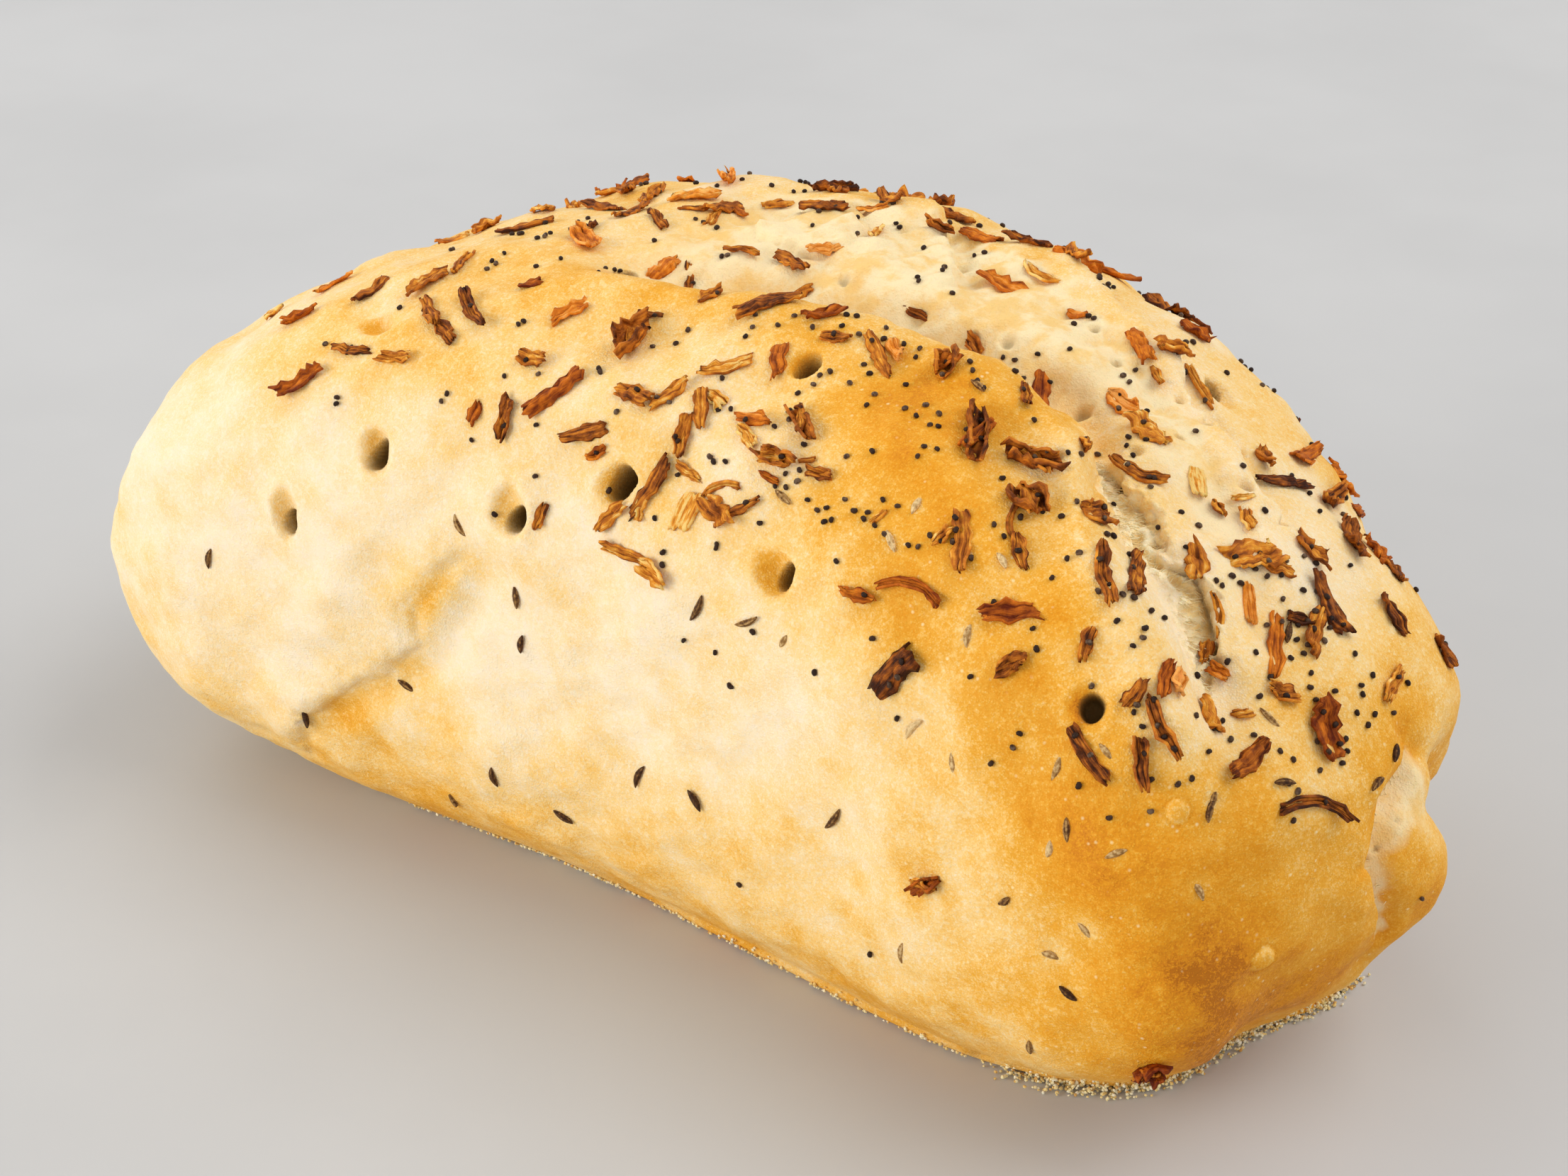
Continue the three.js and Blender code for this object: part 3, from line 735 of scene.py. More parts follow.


# What the crust's material reads: how brown (with painted shade in places), skinned and torn each point is, how far
# down in the tear it lies, which warms a painted shade there, and the painted shade of bores, pits and the slit.
def crustTones(points, normals, hollowShadeMask, bowlShade):
    distance, along, across, inside = crackShape(points, normals)
    # painted shade down the crack's slit
    hollowShadeMask = np.maximum(hollowShadeMask, crack["slitShade"] * crackSlit(across, along))
    # and painted shade in the pits
    for centre, radius, depth in pitSpots:
        hollowShadeMask = np.maximum(hollowShadeMask, 0.45 * (1 - ease(0.2, 0.8, away(points, centre) / radius)))
    return {
        "bake": np.clip(bakeTone(points, normals, bowlShade), 0, 1.2),
        "skin": np.clip(skinTone(points, normals), 0, 1),
        "torn": np.clip(inside * (1 - 0.5 * ease(0.9, 1, along)), 0, 1),
        "deep": inside * ease(-0.7, 0.9, across + 0.5 * wander(points, 3.2, 10)),
        "hollowShade": hollowShadeMask,
    }


def finishMesh(bm, name, smooth=True):
    mesh = bpy.data.meshes.new(name)
    bm.to_mesh(mesh)
    bm.free()
    if smooth:
        mesh.shade_smooth()
    piece = bpy.data.objects.new(name, mesh)
    bpy.context.scene.collection.objects.link(piece)
    return piece


def makeCrust():
    bm = ballWithDetail()
    directions = unit(np.array([v.co for v in bm.verts], float))
    points = doughPoints(directions)
    normals = doughNormals(directions, points)
    low = points[:, 2] < crust["baseBelow"]
    sink, hollowShadeMask, bowlShade = holeSink(points)
    tones = crustTones(points, normals, hollowShadeMask, bowlShade)
    relief = np.where(low, 0, crustRelief(points, normals))
    shaped = points + normals * relief[:, None] + sink
    shaped[:, 2] = np.maximum(shaped[:, 2], 0.0)
    piece = finishMesh(bm, "crust")
    piece.data.vertices.foreach_set("co", inFrame(shaped).astype(np.float32).ravel())
    for name, values in tones.items():
        layer = piece.data.attributes.new(name, "FLOAT", "POINT")
        layer.data.foreach_set("value", values.astype(np.float32))
    piece.data.update()
    print("crust made", len(piece.data.polygons), "faces")
    return piece


def treeOf(piece):
    faces = [tuple(face.vertices) for face in piece.data.polygons]
    return BVHTree.FromPolygons([tuple(v.co) for v in piece.data.vertices], faces)


crustPiece = makeCrust()
crustTree = treeOf(crustPiece)


# The nearest place of the finished crust, in metres, and its normal.
def nearestCrust(place):
    hit, facing, index, distance = crustTree.find_nearest(Vector(place))
    return np.array(hit), np.array(facing)


# The finished crust under a place of the picture: point in metres, normal, sight line, pixel size in millimetres.
def crustSpot(px, py):
    point, normal, sight, pixel = spot(px, py)
    place = inFrame(point)
    hit, facing, index, distance = crustTree.ray_cast(Vector(place - sight * 0.03), Vector(sight))
    if hit is None:
        hit, facing = nearestCrust(place)
    return np.array(hit), unit(0.6 * normal + 0.4 * np.array(facing)), sight, pixel


# Random places on the crust, likelier where share is high, in metres: point and normal of each.
def scatter(count, share, seed, spacing, batch=400):
    draw = np.random.default_rng(seed)
    chosen, taken = [], []
    while len(chosen) < count:
        directions = unit(draw.normal(size=(batch, 3)))
        points = doughPoints(directions)
        keep = draw.uniform(size=batch) < share(points)
        for point in points[keep]:
            if all(np.linalg.norm(point - other) > spacing for other in taken):
                taken.append(point)
                chosen.append(nearestCrust(inFrame(point)))
            if len(chosen) == count:
                break
    return chosen


# The matrix that stands a shape at a point with these axes.
def axesAt(point, first, second, third):
    return Matrix([[first[i], second[i], third[i], point[i]] for i in range(3)] + [[0, 0, 0, 1]])


# Stands a shape on the crust with its x along the run.
def standOn(point, normal, run):
    run = unit(run - (run @ normal) * normal)
    return axesAt(point, run, np.cross(normal, run), normal)


# A direction drawn at random.
def anyWay(draw):
    return np.array([draw.gauss(0, 1) for k in range(3)])


def rowsOf(table):
    return [row.split() for row in table.strip().replace("\n", ";").split(";")]


# Onion flakes: place in the picture, length and width in its pixels, angle, tone (0 dark to 9 pale), kind:
# s strip, c crumpled chip, k rolled-up clump, r arc that bends to its left, q to its right, f flat glassy strip
flakeRows = """
1856 1130 100 20 8 2 q;1870 1028 84 38 75 2 c;1263 949 77 42 129 1 s;1766 786 62 42 -15 4 c;1800 800 46 18 25 4 s
1905 760 50 30 80 2 c;1940 780 48 22 60 3 c;1378 617 72 46 100 1 k;826 612 62 22 165 3 s;843 640 26 13 150 2 c
897 556 50 22 15 3 c;946 556 60 18 -28 5 s;990 576 52 20 85 5 s;895 482 58 40 137 3 k;1874 855 95 26 62 2 s
1097 510 44 18 110 3 s;884 782 68 16 28 5 s;922 808 48 28 40 5 s;1467 549 60 27 100 2 s;1449 560 30 12 70 3 s
922 690 92 22 118 3 s;863 729 50 20 134 5 s;905 715 40 14 110 6 s;1425 867 78 30 170 1 s;1459 653 78 32 14 2 k
1796 912 80 20 98 4 s;1850 890 60 26 110 4 c;1833 875 36 14 10 1 s;1760 1078 68 30 129 2 c;1012 722 46 32 60 4 c
1050 715 46 12 -30 3 s;1536 1063 92 22 52 1 s;785 556 96 22 135 3 s;1083 430 90 24 164 2 s;1130 415 36 14 150 5 s
1637 1028 95 22 69 1 s;1448 710 52 42 51 2 k;1812 682 74 16 8 1 s;1555 810 87 24 91 2 s;1419 407 80 24 31 5 s
1612 1075 74 24 79 1 s;1289 824 98 17 18 3 q;1618 610 62 30 42 5 c;969 722 58 30 115 7 f;1704 1012 50 28 62 5 c
665 440 60 20 65 2 s;1808 978 42 22 20 3 c;1845 778 56 26 50 4 s;1877 703 56 28 145 2 c;1012 565 26 22 30 6 c
1095 648 46 36 30 4 k;1118 370 52 18 20 3 s;425 537 66 20 151 3 s;1440 778 50 20 70 4 s;1424 735 52 7 97 4 r
1543 727 44 32 26 3 c;610 440 40 20 55 3 c;630 468 34 20 45 3 c;1601 812 68 22 95 3 s;1360 765 84 24 83 4 s
1330 755 28 18 150 4 c;1337 517 40 34 124 3 k;1965 869 64 18 59 2 s;713 590 58 20 114 3 s;672 583 32 15 110 3 s
1426 938 42 28 159 2 c;1134 600 50 24 55 3 k;1844 644 50 20 156 3 s;964 614 62 20 105 5 s;1306 1246 38 26 154 1 k
1643 957 52 18 109 3 s;1603 980 44 22 125 3 s;935 380 48 22 146 5 c;743 322 76 13 165 3 s;806 442 54 20 147 5 s
604 400 60 20 145 5 s;1163 444 52 20 165 3 s;1533 908 44 20 107 2 s;1209 840 50 17 26 4 s;922 276 46 18 129 3 s
1466 391 58 13 32 6 r;1063 592 46 18 7 5 s;1963 967 52 16 107 4 s;525 411 50 16 141 3 s;1376 487 30 22 60 3 c
1527 627 22 15 120 3 c;1926 719 42 14 6 3 s;640 340 46 18 170 5 s;688 322 40 24 160 5 c;1242 502 70 22 60 4 s
1689 681 38 20 81 7 f;753 508 34 22 15 4 c;828 340 46 24 36 5 c;1085 675 30 10 35 3 s;1156 670 36 18 15 4 c
424 447 44 16 158 4 s;1762 851 52 16 86 6 f;798 268 28 18 80 4 c;1185 266 34 16 131 4 c;1165 352 46 14 168 7 s
1758 734 30 17 80 4 c;972 668 38 14 45 5 s;1019 684 54 10 168 6 r;976 399 48 12 78 3 s;1779 647 26 18 76 3 c
559 506 40 13 6 4 c;1231 297 44 12 172 5 s;1518 448 26 13 10 6 c;762 728 36 14 111 4 s;1256 274 32 15 30 4 c
856 265 34 14 157 4 s;1045 355 46 11 10 5 s;749 402 30 12 170 2 s;494 496 50 10 178 3 s;1717 720 25 15 55 3 c
1180 477 40 15 5 3 s;1003 418 34 15 150 3 s;1006 306 34 10 136 5 s;979 296 36 10 3 3 s;1292 443 32 12 32 3 s
1753 1009 22 14 165 5 c;919 445 30 8 6 3 s;1026 520 72 17 163 6 s;1139 651 22 7 170 3 s;1058 617 34 18 45 6 c
1262 494 26 20 70 7 c;1602 668 84 17 28 3 s;1688 796 50 32 80 4 c;1723 870 64 11 76 3 s;1700 922 30 22 100 4 c
1717 950 28 20 40 4 c;1660 960 32 18 110 8 c;1582 572 54 26 40 8 s;1966 808 32 18 60 2 c;1754 703 28 9 170 6 s
2034 920 46 22 62 1 s;467 398 52 11 146 5 s;370 434 30 12 140 5 s;1345 306 56 18 20 2 s;1385 335 56 18 12 4 s
1448 342 60 18 16 3 s;1562 371 118 20 20 3 s;1530 346 30 18 60 4 c;1650 430 50 26 40 2 c;1684 470 46 26 30 3 c
1611 490 46 24 60 5 c;1632 532 26 12 60 5 c;1655 497 42 22 20 3 c;1690 548 72 11 62 5 s;1100 290 40 12 170 5 s
1040 300 30 10 20 4 s;650 372 40 12 140 4 s;1240 730 22 7 140 3 s;1622 1506 46 30 -10 1 k
"""
flakes = {
    "thick": 0.5,
    "acrossFaces": 7,
    "alongFaces": 10,
    "hidden": 44,
    "lengths": (5.0, 10.0),
    "widths": (2.0, 4.2),
    "sunk": 0.15,
}
# How each kind is rolled across (radians), crumpled (mm), bent in its plane and arched along, least and most.
flakeLooks = {
    "s": {"roll": (0.3, 1.1), "crumple": 0.30, "bend": (-0.35, 0.35), "arch": (-0.10, 0.16)},
    "c": {"roll": (0.3, 1.2), "crumple": 0.42, "bend": (-0.4, 0.4), "arch": (-0.08, 0.26)},
    "k": {"roll": (1.7, 2.4), "crumple": 0.46, "bend": (-0.4, 0.4), "arch": (0.0, 0.2)},
    "r": {"roll": (0.8, 1.3), "crumple": 0.30, "bend": (1.1, 1.5), "arch": (0.0, 0.12)},
    "q": {"roll": (0.9, 1.4), "crumple": 0.34, "bend": (-1.5, -1.1), "arch": (0.0, 0.12)},
    "f": {"roll": (0.15, 0.3), "crumple": 0.08, "bend": (-0.06, 0.06), "arch": (0.0, 0.06)},
}
flakeLayers = ("tone", "shift", "rim", "ridgeAndHighlight")
flakeDraw = random.Random(5)


# Adds one finished shape to the mesh of its kind.
def addShape(whole, part):
    mesh = bpy.data.meshes.new("part")
    part.to_mesh(mesh)
    part.free()
    whole.from_mesh(mesh)
    bpy.data.meshes.remove(mesh)


def newPart(*layers):
    bm = bmesh.new()
    for name in layers:
        bm.verts.layers.float.new(name)
    return bm


# Gives all of a shape the same tone.
def tint(part, tone):
    layer = part.verts.layers.float["tone"]
    for v in part.verts:
        v[layer] = tone


# One dried shred, lying along x: torn edges, slanting ends, wrinkled along its fibres, rolled and bent.
def flakePart(length, width, kind, tone, matrix, number):
    bm = newPart(*flakeLayers)
    bm.loops.layers.uv.new("fibre")
    cutsAlong, cutsAcross = flakes["alongFaces"], flakes["acrossFaces"]
    bmesh.ops.create_grid(bm, x_segments=cutsAlong, y_segments=cutsAcross, size=1.0, calc_uvs=True)
    draw, look, seed = flakeDraw, flakeLooks[kind], 1000 + 7 * number
    u, w = np.array([v.co[:2] for v in bm.verts]).T
    alongOnly = np.stack([u * length / 2, 0 * u, 0 * u], axis=1)
    ends = np.where(u > 0, draw.uniform(0.45, 0.95), draw.uniform(0.45, 0.95))
    taper = 1 - (1 - ends) * np.abs(u) ** 2.4
    torn = wander(alongOnly + np.stack([0 * u, 9 * np.sign(w), 0 * u], axis=1), 2.3, seed)
    half = width / 2 * taper * (1 + (0.05 if kind == "f" else 0.16) * torn * np.abs(w))
    half = half * (1.45 if kind == "k" else 1.0)
    slant = draw.uniform(-0.7, 0.7) * half * w * np.abs(u) ** 3
    fray = wander(np.stack([w * width, 5 * np.sign(u), 0 * u], axis=1), 1.5, seed + 1) * 0.28 * np.abs(u) ** 6
    run = u * length / 2 + slant + fray
    rolled = draw.uniform(*look["roll"]) * draw.choice((-1, 1, 1))
    roll = rolled * w
    across = half * np.sin(roll) / rolled
    tall = half * (1 - np.cos(roll)) / rolled
    wrinkle = draw.uniform(0.8, 1.35) * math.pi * w + draw.uniform(0, 6.3) + 0.6 * wander(alongOnly, 4.5, seed + 2)
    ridgeAndHighlight = np.abs(np.sin(wrinkle))
    crumple = look["crumple"] * min(width / 3, 1.0)
    crumpled = wander(np.stack([run, half * w, 0 * u], axis=1), 2.1, seed + 3)
    tall = tall + crumple * (1.3 * ridgeAndHighlight - 0.6 + 0.7 * crumpled)
    twist = draw.uniform(-0.45, 0.45) * (0.2 if kind == "f" else 1.0) * u
    across, tall = across * np.cos(twist) - tall * np.sin(twist), across * np.sin(twist) + tall * np.cos(twist)
    bend = draw.uniform(*look["bend"])
    bend = bend if abs(bend) > 0.05 else 0.05
    kink = draw.uniform(-0.5, 0.5) * (kind in "sc") * ease(-0.2, 0.2, u - draw.uniform(-0.4, 0.4))
    turned = bend * run / length
    sweep = turned + kink
    x = np.sin(turned) * length / bend - np.sin(sweep) * across
    y = (1 - np.cos(turned)) * length / bend + np.cos(sweep) * across + np.sin(kink) * (run - run.min()) * 0.25
    z = tall + draw.uniform(*look["arch"]) * length * u * u * 0.5
    z = z + np.maximum(u - draw.uniform(0.0, 0.5), 0) * draw.uniform(-0.3, 0.5) * (kind in "sck") * width * 0.6
    z = z - np.sort(z)[len(z) // 12] + flakes["thick"] * 0.5 - flakes["sunk"]
    shift, glow = draw.random(), draw.choice((-1.0, -0.6, 0.4, 1.0))
    rim = glow * np.maximum(np.abs(w) ** 5, np.abs(u) ** 8)
    values = {"tone": tone + 0 * u, "shift": shift + 0 * u, "rim": rim, "ridgeAndHighlight": ridgeAndHighlight}
    layers = [(bm.verts.layers.float[name], value) for name, value in values.items()]
    for k, v in enumerate(bm.verts):
        v.co = (x[k] * mm, y[k] * mm, z[k] * mm)
        for layer, value in layers:
            v[layer] = value[k]
    bmesh.ops.transform(bm, matrix=matrix, verts=bm.verts)
    return bm


# The sides that the picture doesn't show.
def hiddenFlakeShare(points):
    return ease(66, 92, points[:, 2]) * ease(-112, -76, points[:, 0]) * facesAway(points, 40)


def makeFlakes():
    whole = newPart(*flakeLayers)
    whole.loops.layers.uv.new("fibre")
    number = 0
    for row in rowsOf(flakeRows):
        px, py, length, width, angle, tone = (float(value) for value in row[:6])
        point, normal, sight, pixel = crustSpot(px, py)
        run, stretch = alongCrust(normal, sight, angle)
        aside, widen = alongCrust(normal, sight, angle + 90)
        long, wide = length * pixel * stretch, width * pixel * min(widen, 1.3)
        number += 1
        addShape(whole, flakePart(long, wide, row[6], tone / 9, standOn(point, normal, run), number))
        if row[6] == "k":  # a clump has one more shred stuck to it
            number += 1
            cross = run * 0.86 + aside * flakeDraw.choice((-0.5, 0.5))
            top = standOn(point + (normal * 0.7 + run * flakeDraw.uniform(-1, 1)) * mm, normal, cross)
            addShape(whole, flakePart(long * 0.7, wide * 0.5, "c", (tone + 1.5) / 9, top, number))
    for point, normal in scatter(flakes["hidden"], hiddenFlakeShare, seed=12, spacing=7):
        run = anyWay(flakeDraw)
        kind = flakeDraw.choice("ssscck")
        length = flakeDraw.uniform(*flakes["lengths"])
        width = min(flakeDraw.uniform(*flakes["widths"]), length * 0.6)
        tone = flakeDraw.choice((1, 2, 2, 3, 3, 4, 5, 6)) / 9
        number += 1
        addShape(whole, flakePart(length, width, kind, tone, standOn(point, normal, run), number))
    piece = finishMesh(whole, "onionFlakes")
    solid = piece.modifiers.new("thickness", "SOLIDIFY")
    solid.thickness = flakes["thick"] * mm
    solid.offset = 0.0
    print("onion flakes made", number)
    return piece


flakePiece = makeFlakes()
flakeTree = treeOf(flakePiece)


# Poppy seeds: place in the picture
poppyRows = """
978 401;1011 416;666 434;1066 445;925 446;1194 446;1121 447;1208 448;1098 460;1188 461;1062 463;1147 463;1250 464
971 467;1177 473;1212 473;1052 476;1247 480;1230 482;954 486;1275 487;921 490;1298 493;1509 494;1464 501;1292 505
1415 505;1432 509;744 510;1336 512;1368 512;1219 516;1372 524;1432 525;848 526;1171 526;1227 529;1157 531;1331 531
1251 533;1444 534;1019 535;1378 539;1481 540;1199 542;1148 544;1278 544;1387 549;1442 551;898 552;1234 558;927 563
945 568;1223 573;1306 573;1032 578;1277 578;1014 579;1577 579;1114 581;871 582;1293 588;1053 592;1114 593;1459 594
1383 597;1613 598;715 600;1312 601;1093 603;1324 603;1365 607;953 617;1592 618;1528 620;1383 622;1616 622;957 623
1362 624;1135 628;1590 630;1304 631;1322 635;1478 636;843 637;1231 638;1506 640;1429 642;1524 642;1548 643;1598 644
1195 645;1295 645;1461 645;1103 646;1591 658;1129 664;1109 669;957 670;1620 675;1414 676;1627 677;1095 686;1110 688
1623 688;859 692;1582 694;1463 702;1193 705;1140 706;1519 709;1055 710;1267 715;1555 715;1167 717;1451 717;1206 721
1471 723;1225 724;1666 724;1498 730;925 731;1440 731;1348 732;1219 733;1556 733;1174 734;1164 737;1073 738;1402 741
1235 742;1690 743;1349 749;1249 754;1313 756;1416 758;1328 762;1345 765;1282 770;1296 772;1673 773;1848 774
1436 779;1523 781;1777 783;1839 786;1371 788;1506 789;1742 789;1550 791;1181 792;1788 792;1813 792;1855 796
1904 799;1596 802;1770 804;1806 812;1737 814;1787 814;1484 816;1715 820;1749 824;1563 827;1724 827;1837 834
1549 835;1856 835;1221 838;1583 840;1714 840;1599 844;1870 844;1809 846;1402 851;1623 863;1855 865;1818 866
1641 873;1576 877;1842 877;1809 878;1830 882;1786 883;1895 883;1457 887;1614 887;1850 888;1612 900;1232 901
1828 903;1867 905;1536 906;1844 911;1598 912;1463 916;1771 921;1838 923;1910 923;1820 929;1274 934;1732 934
1151 948;1848 950;1267 953;1935 953;1687 954;1970 954;1370 955;1791 956;1256 964;1984 964;1919 967;1540 968
1847 970;1882 976;1921 980;1814 982;1776 983;1855 988;1625 989;1604 994;1600 1005;1964 1005;1913 1006;1864 1007
1938 1008;1686 1010;1267 1013;1723 1018;1884 1022;1928 1023;1612 1025;1633 1025;1710 1028;1717 1030;1439 1035
1519 1038;1768 1038;1642 1042;1896 1043;1735 1044;1857 1046;1889 1050;1430 1054;1654 1058;1805 1060;1899 1060
1704 1061;1616 1062;1871 1062;1539 1066;1966 1066;1823 1072;1399 1076;1892 1077;1861 1087;1680 1098;1624 1100
1817 1105;1661 1106;1522 1108;1829 1116;1868 1129;1623 1144;1565 1153;1823 1157;1044 1247;2004 1267;1229 1345
1011 773;1012 768;1063 891;1010 920;1030 966;1033 969;1003 645;1008 652;1024 652;1246 706;1126 556;1126 680
"""
# Further ones, at random places: how many, radius of all, and the share of them that lies close to another
poppy = {"further": 250, "radius": (0.46, 0.58), "clusters": 0.3}


# The seeds lie thinly where the list has them one by one, and thicker where the picture is soft.
def poppyShare(points):
    x, y, z = points.T
    top = ease(70, 92, z) * ease(-70, -20, x) * (0.12 + 0.88 * ease(16, 40, y + 0.5 * np.maximum(x - 40, 0)))
    far = 0.8 * ease(76, 96, z) * ease(-84, -50, x) * (1 - ease(-30, 0, x))
    heel = 0.5 * ease(52, 72, z) * ease(60, 92, x) * ease(10, 30, y)
    return np.maximum(np.maximum(np.maximum(top, far), heel), 0.012 * ease(10, 30, z))


# What a place of the picture shows first, the crust or a flake on it.
def toppedSpot(px, py):
    point, normal, sight, pixel = crustSpot(px, py)
    hit, facing, index, distance = flakeTree.ray_cast(Vector(point - sight * 0.012), Vector(sight), 0.013)
    if hit is None:
        return point, normal
    facing = np.array(facing) * (1 if np.array(facing) @ normal > 0 else -1)
    return np.array(hit) + facing * flakes["thick"] * 0.0004, 0.5 * facing + 0.5 * normal


def makePoppy():
    draw = random.Random(8)
    whole = newPart("tone")
    places = scatter(int(poppy["further"] * (1 - poppy["clusters"])), poppyShare, seed=21, spacing=1.3)
    first = len(places)
    while len(places) < poppy["further"]:
        point, normal = places[draw.randrange(first)]
        run = anyWay(draw)
        step = unit(run - (run @ normal) * normal) * draw.uniform(0.0011, 0.0024)
        places.append(nearestCrust(point + step))
    places += [toppedSpot(*map(float, row)) for row in rowsOf(poppyRows)]
    for point, normal in places:
        seed = newPart("tone")
        bmesh.ops.create_uvsphere(seed, u_segments=8, v_segments=6, radius=1.0)
        size = draw.uniform(*poppy["radius"])
        tint(seed, draw.random())
        for v in seed.verts:  # a kidney: pinched on one side
            v.co.x -= 0.28 * math.exp(-((v.co.y / 0.5) ** 2)) * (v.co.x > 0.2)
            v.co = (v.co.x * size * mm, v.co.y * size * 0.00118, v.co.z * size * 0.00086)
        lying = standOn(point + normal * size * 0.00062, normal, anyWay(draw))
        bmesh.ops.transform(seed, matrix=lying, verts=seed.verts)
        addShape(whole, seed)
    piece = finishMesh(whole, "poppySeeds")
    print("poppy seeds made", len(places))
    return piece


poppyPiece = makePoppy()


# Caraway seeds: place in the picture, length in its pixels, angle, tone (0 dark to 9 pale), how far each stands out
carawayRows = """
985 858 40 115 3 6;1054 877 34 161 4 5;903 1094 33 112 2 6;982 1128 36 60 1 7;1177 1155 34 127 3 6
796 1151 34 34 2 6;697 1095 29 70 2 5;729 843 32 83 3 5;736 908 26 95 2 5;1811 1104 30 2 2 6;1507 1401 32 40 1 4
1967 1062 26 97 1 5;1942 1104 24 130 3 5;1707 1144 34 102 3 3;1505 1171 36 87 4 3;296 787 28 96 3 5
431 1012 30 76 1 4;574 967 30 35 3 4;648 742 36 62 5 3;1817 893 30 100 2 5;1365 897 34 100 7 3;1491 1083 40 110 6 2
1288 1027 34 130 9 4;1792 1013 40 45 5 2;1712 1126 30 100 5 2;1295 712 34 130 8 4;1257 764 34 70 8 5
1414 792 26 60 8 6;1691 1257 30 60 6 3;1530 1312 28 50 6 2;1480 1347 30 20 6 2;1574 1204 34 160 6 3
1480 1198 24 100 8 3;1417 1271 18 150 3 4;1453 1477 18 80 5 4;1105 702 30 45 5 5;1343 1077 32 84 7 1
1271 1344 30 96 6 1;1380 545 26 40 4 5;1105 905 20 120 6 2;1560 1060 30 50 6 1;640 1130 22 60 4 3
"""
caraway = {"wide": 1.22, "ringFaces": 10, "rings": 9, "hidden": 16, "length": (4.4, 5.6)}


# A slim ribbed crescent, lying along x.
def carawayPart(length, matrix, stand, bend, tone):
    seed = newPart("tone")
    bmesh.ops.create_uvsphere(seed, u_segments=caraway["ringFaces"], v_segments=caraway["rings"], radius=1.0)
    bmesh.ops.rotate(seed, verts=seed.verts, cent=(0, 0, 0), matrix=Matrix.Rotation(math.radians(90), 3, "Y"))
    lift = caraway["wide"] * 0.5 * (stand / 5.0 - 0.55)
    toneLayer = seed.verts.layers.float["tone"]
    for v in seed.verts:
        t = v.co.x
        rib = 1 + 0.10 * math.cos(5 * math.atan2(v.co.z, v.co.y))
        ribTone = tone + (rib - 1) * (1.6 if tone < 0.6 else 0.8)
        slim = 0.5 * caraway["wide"] * rib * (1 - 0.35 * t * t)
        curve = bend * length * (t * t - 0.4) * 0.12
        v.co = Vector((t * length / 2, v.co.y * slim + curve, v.co.z * slim + lift)) * mm
        v[toneLayer] = ribTone
    bmesh.ops.transform(seed, matrix=matrix, verts=seed.verts)
    return seed


def hiddenSeedShare(points):
    return ease(14, 26, points[:, 2]) * (1 - ease(78, 92, points[:, 2])) * facesAway(points, 20)


def makeCaraway():
    draw = random.Random(14)
    whole = newPart("tone")
    seeds = []
    for row in rowsOf(carawayRows):
        px, py, length, angle, tone, stand = map(float, row)
        point, normal, sight, pixel = crustSpot(px, py)
        run, stretch = alongCrust(normal, sight, angle)
        seeds.append((length * pixel * stretch, standOn(point, normal, run), stand, tone / 9))
    for point, normal in scatter(caraway["hidden"], hiddenSeedShare, seed=31, spacing=12):
        lying = standOn(point, normal, anyWay(draw))
        seeds.append((draw.uniform(*caraway["length"]), lying, draw.uniform(3, 6), draw.uniform(0.1, 0.8)))
    for length, matrix, stand, tone in seeds:
        addShape(whole, carawayPart(length, matrix, stand, draw.uniform(-1, 1), tone))
    piece = finishMesh(whole, "carawaySeeds")
    print("caraway seeds made", len(seeds))
    return piece


carawayPiece = makeCaraway()


# Grit that stuck to the base: how many grains, radius, height up the side, where its thick rim runs in degrees, what
# share of it is there, and how broad that rim and the rest are in metres
grit = {
    "count": 3000, "radius": (0.24, 0.48), "height": 2.6,
    "rim": (-34, 16), "rimShare": 0.42, "rimBreadth": 0.0026, "breadth": 0.0002,
}


def makeGrit():
    draw = random.Random(17)
    whole = newPart("tone")
    made = 0
    while made < grit["count"]:
        onRim = draw.random() < grit["rimShare"]
        turn = math.radians(draw.uniform(*grit["rim"])) if onRim else draw.uniform(0, 2 * math.pi)
        outward = np.array([math.cos(turn), math.sin(turn), 0.0])
        wide = 0.2 if onRim else 1.0
        start = outward * 0.3 + np.array([draw.uniform(-0.03, 0.03) * wide, draw.uniform(-0.02, 0.02) * wide, 0])
        height = abs(draw.gauss(0, 0.5)) * grit["height"] * mm
        start[2] = height + 0.0003
        hit, facing, index, distance = crustTree.ray_cast(Vector(start), Vector(-outward))
        if hit is None:
            continue
        at = np.array(hit) * 1000
        patch = 0.5 + 0.5 * math.sin(at[0] * 0.31 + 2.0 * math.sin(at[1] * 0.17))
        likely = 1.0 if onRim else (0.15 + 0.5 * patch) * (1.0 if at[1] < 0 else 0.6)
        if draw.random() > likely:
            continue
        size = draw.uniform(*grit["radius"])
        run = anyWay(draw)
        out = grit["rimBreadth"] * draw.random() ** 1.5 if onRim else grit["breadth"]
        place = np.array(hit) + np.array(facing) * out
        lowest = size * 0.00095
        place[2] = lowest + max(place[2] - lowest, 0) * (1 - out / 0.0027)  # the further out, the lower they lie
        grain = newPart("tone")
        bmesh.ops.create_icosphere(grain, subdivisions=1, radius=1.0)
        tint(grain, draw.random())
        for v in grain.verts:
            rough = draw.uniform(0.75, 1.15) * size * mm
            v.co = (v.co.x * rough, v.co.y * rough * 0.85, v.co.z * rough * 0.8)
        bmesh.ops.transform(grain, matrix=standOn(place, np.array(facing), run), verts=grain.verts)
        addShape(whole, grain)
        made += 1
    piece = finishMesh(whole, "gritGrains", smooth=False)
    print("grit made", made)
    return piece


gritPiece = makeGrit()


# Crumb shreds: how many in the crack and beside the heel, length and radius
shreds = {"crack": 420, "heel": 40, "length": (0.8, 2.2), "radius": (0.06, 0.13)}


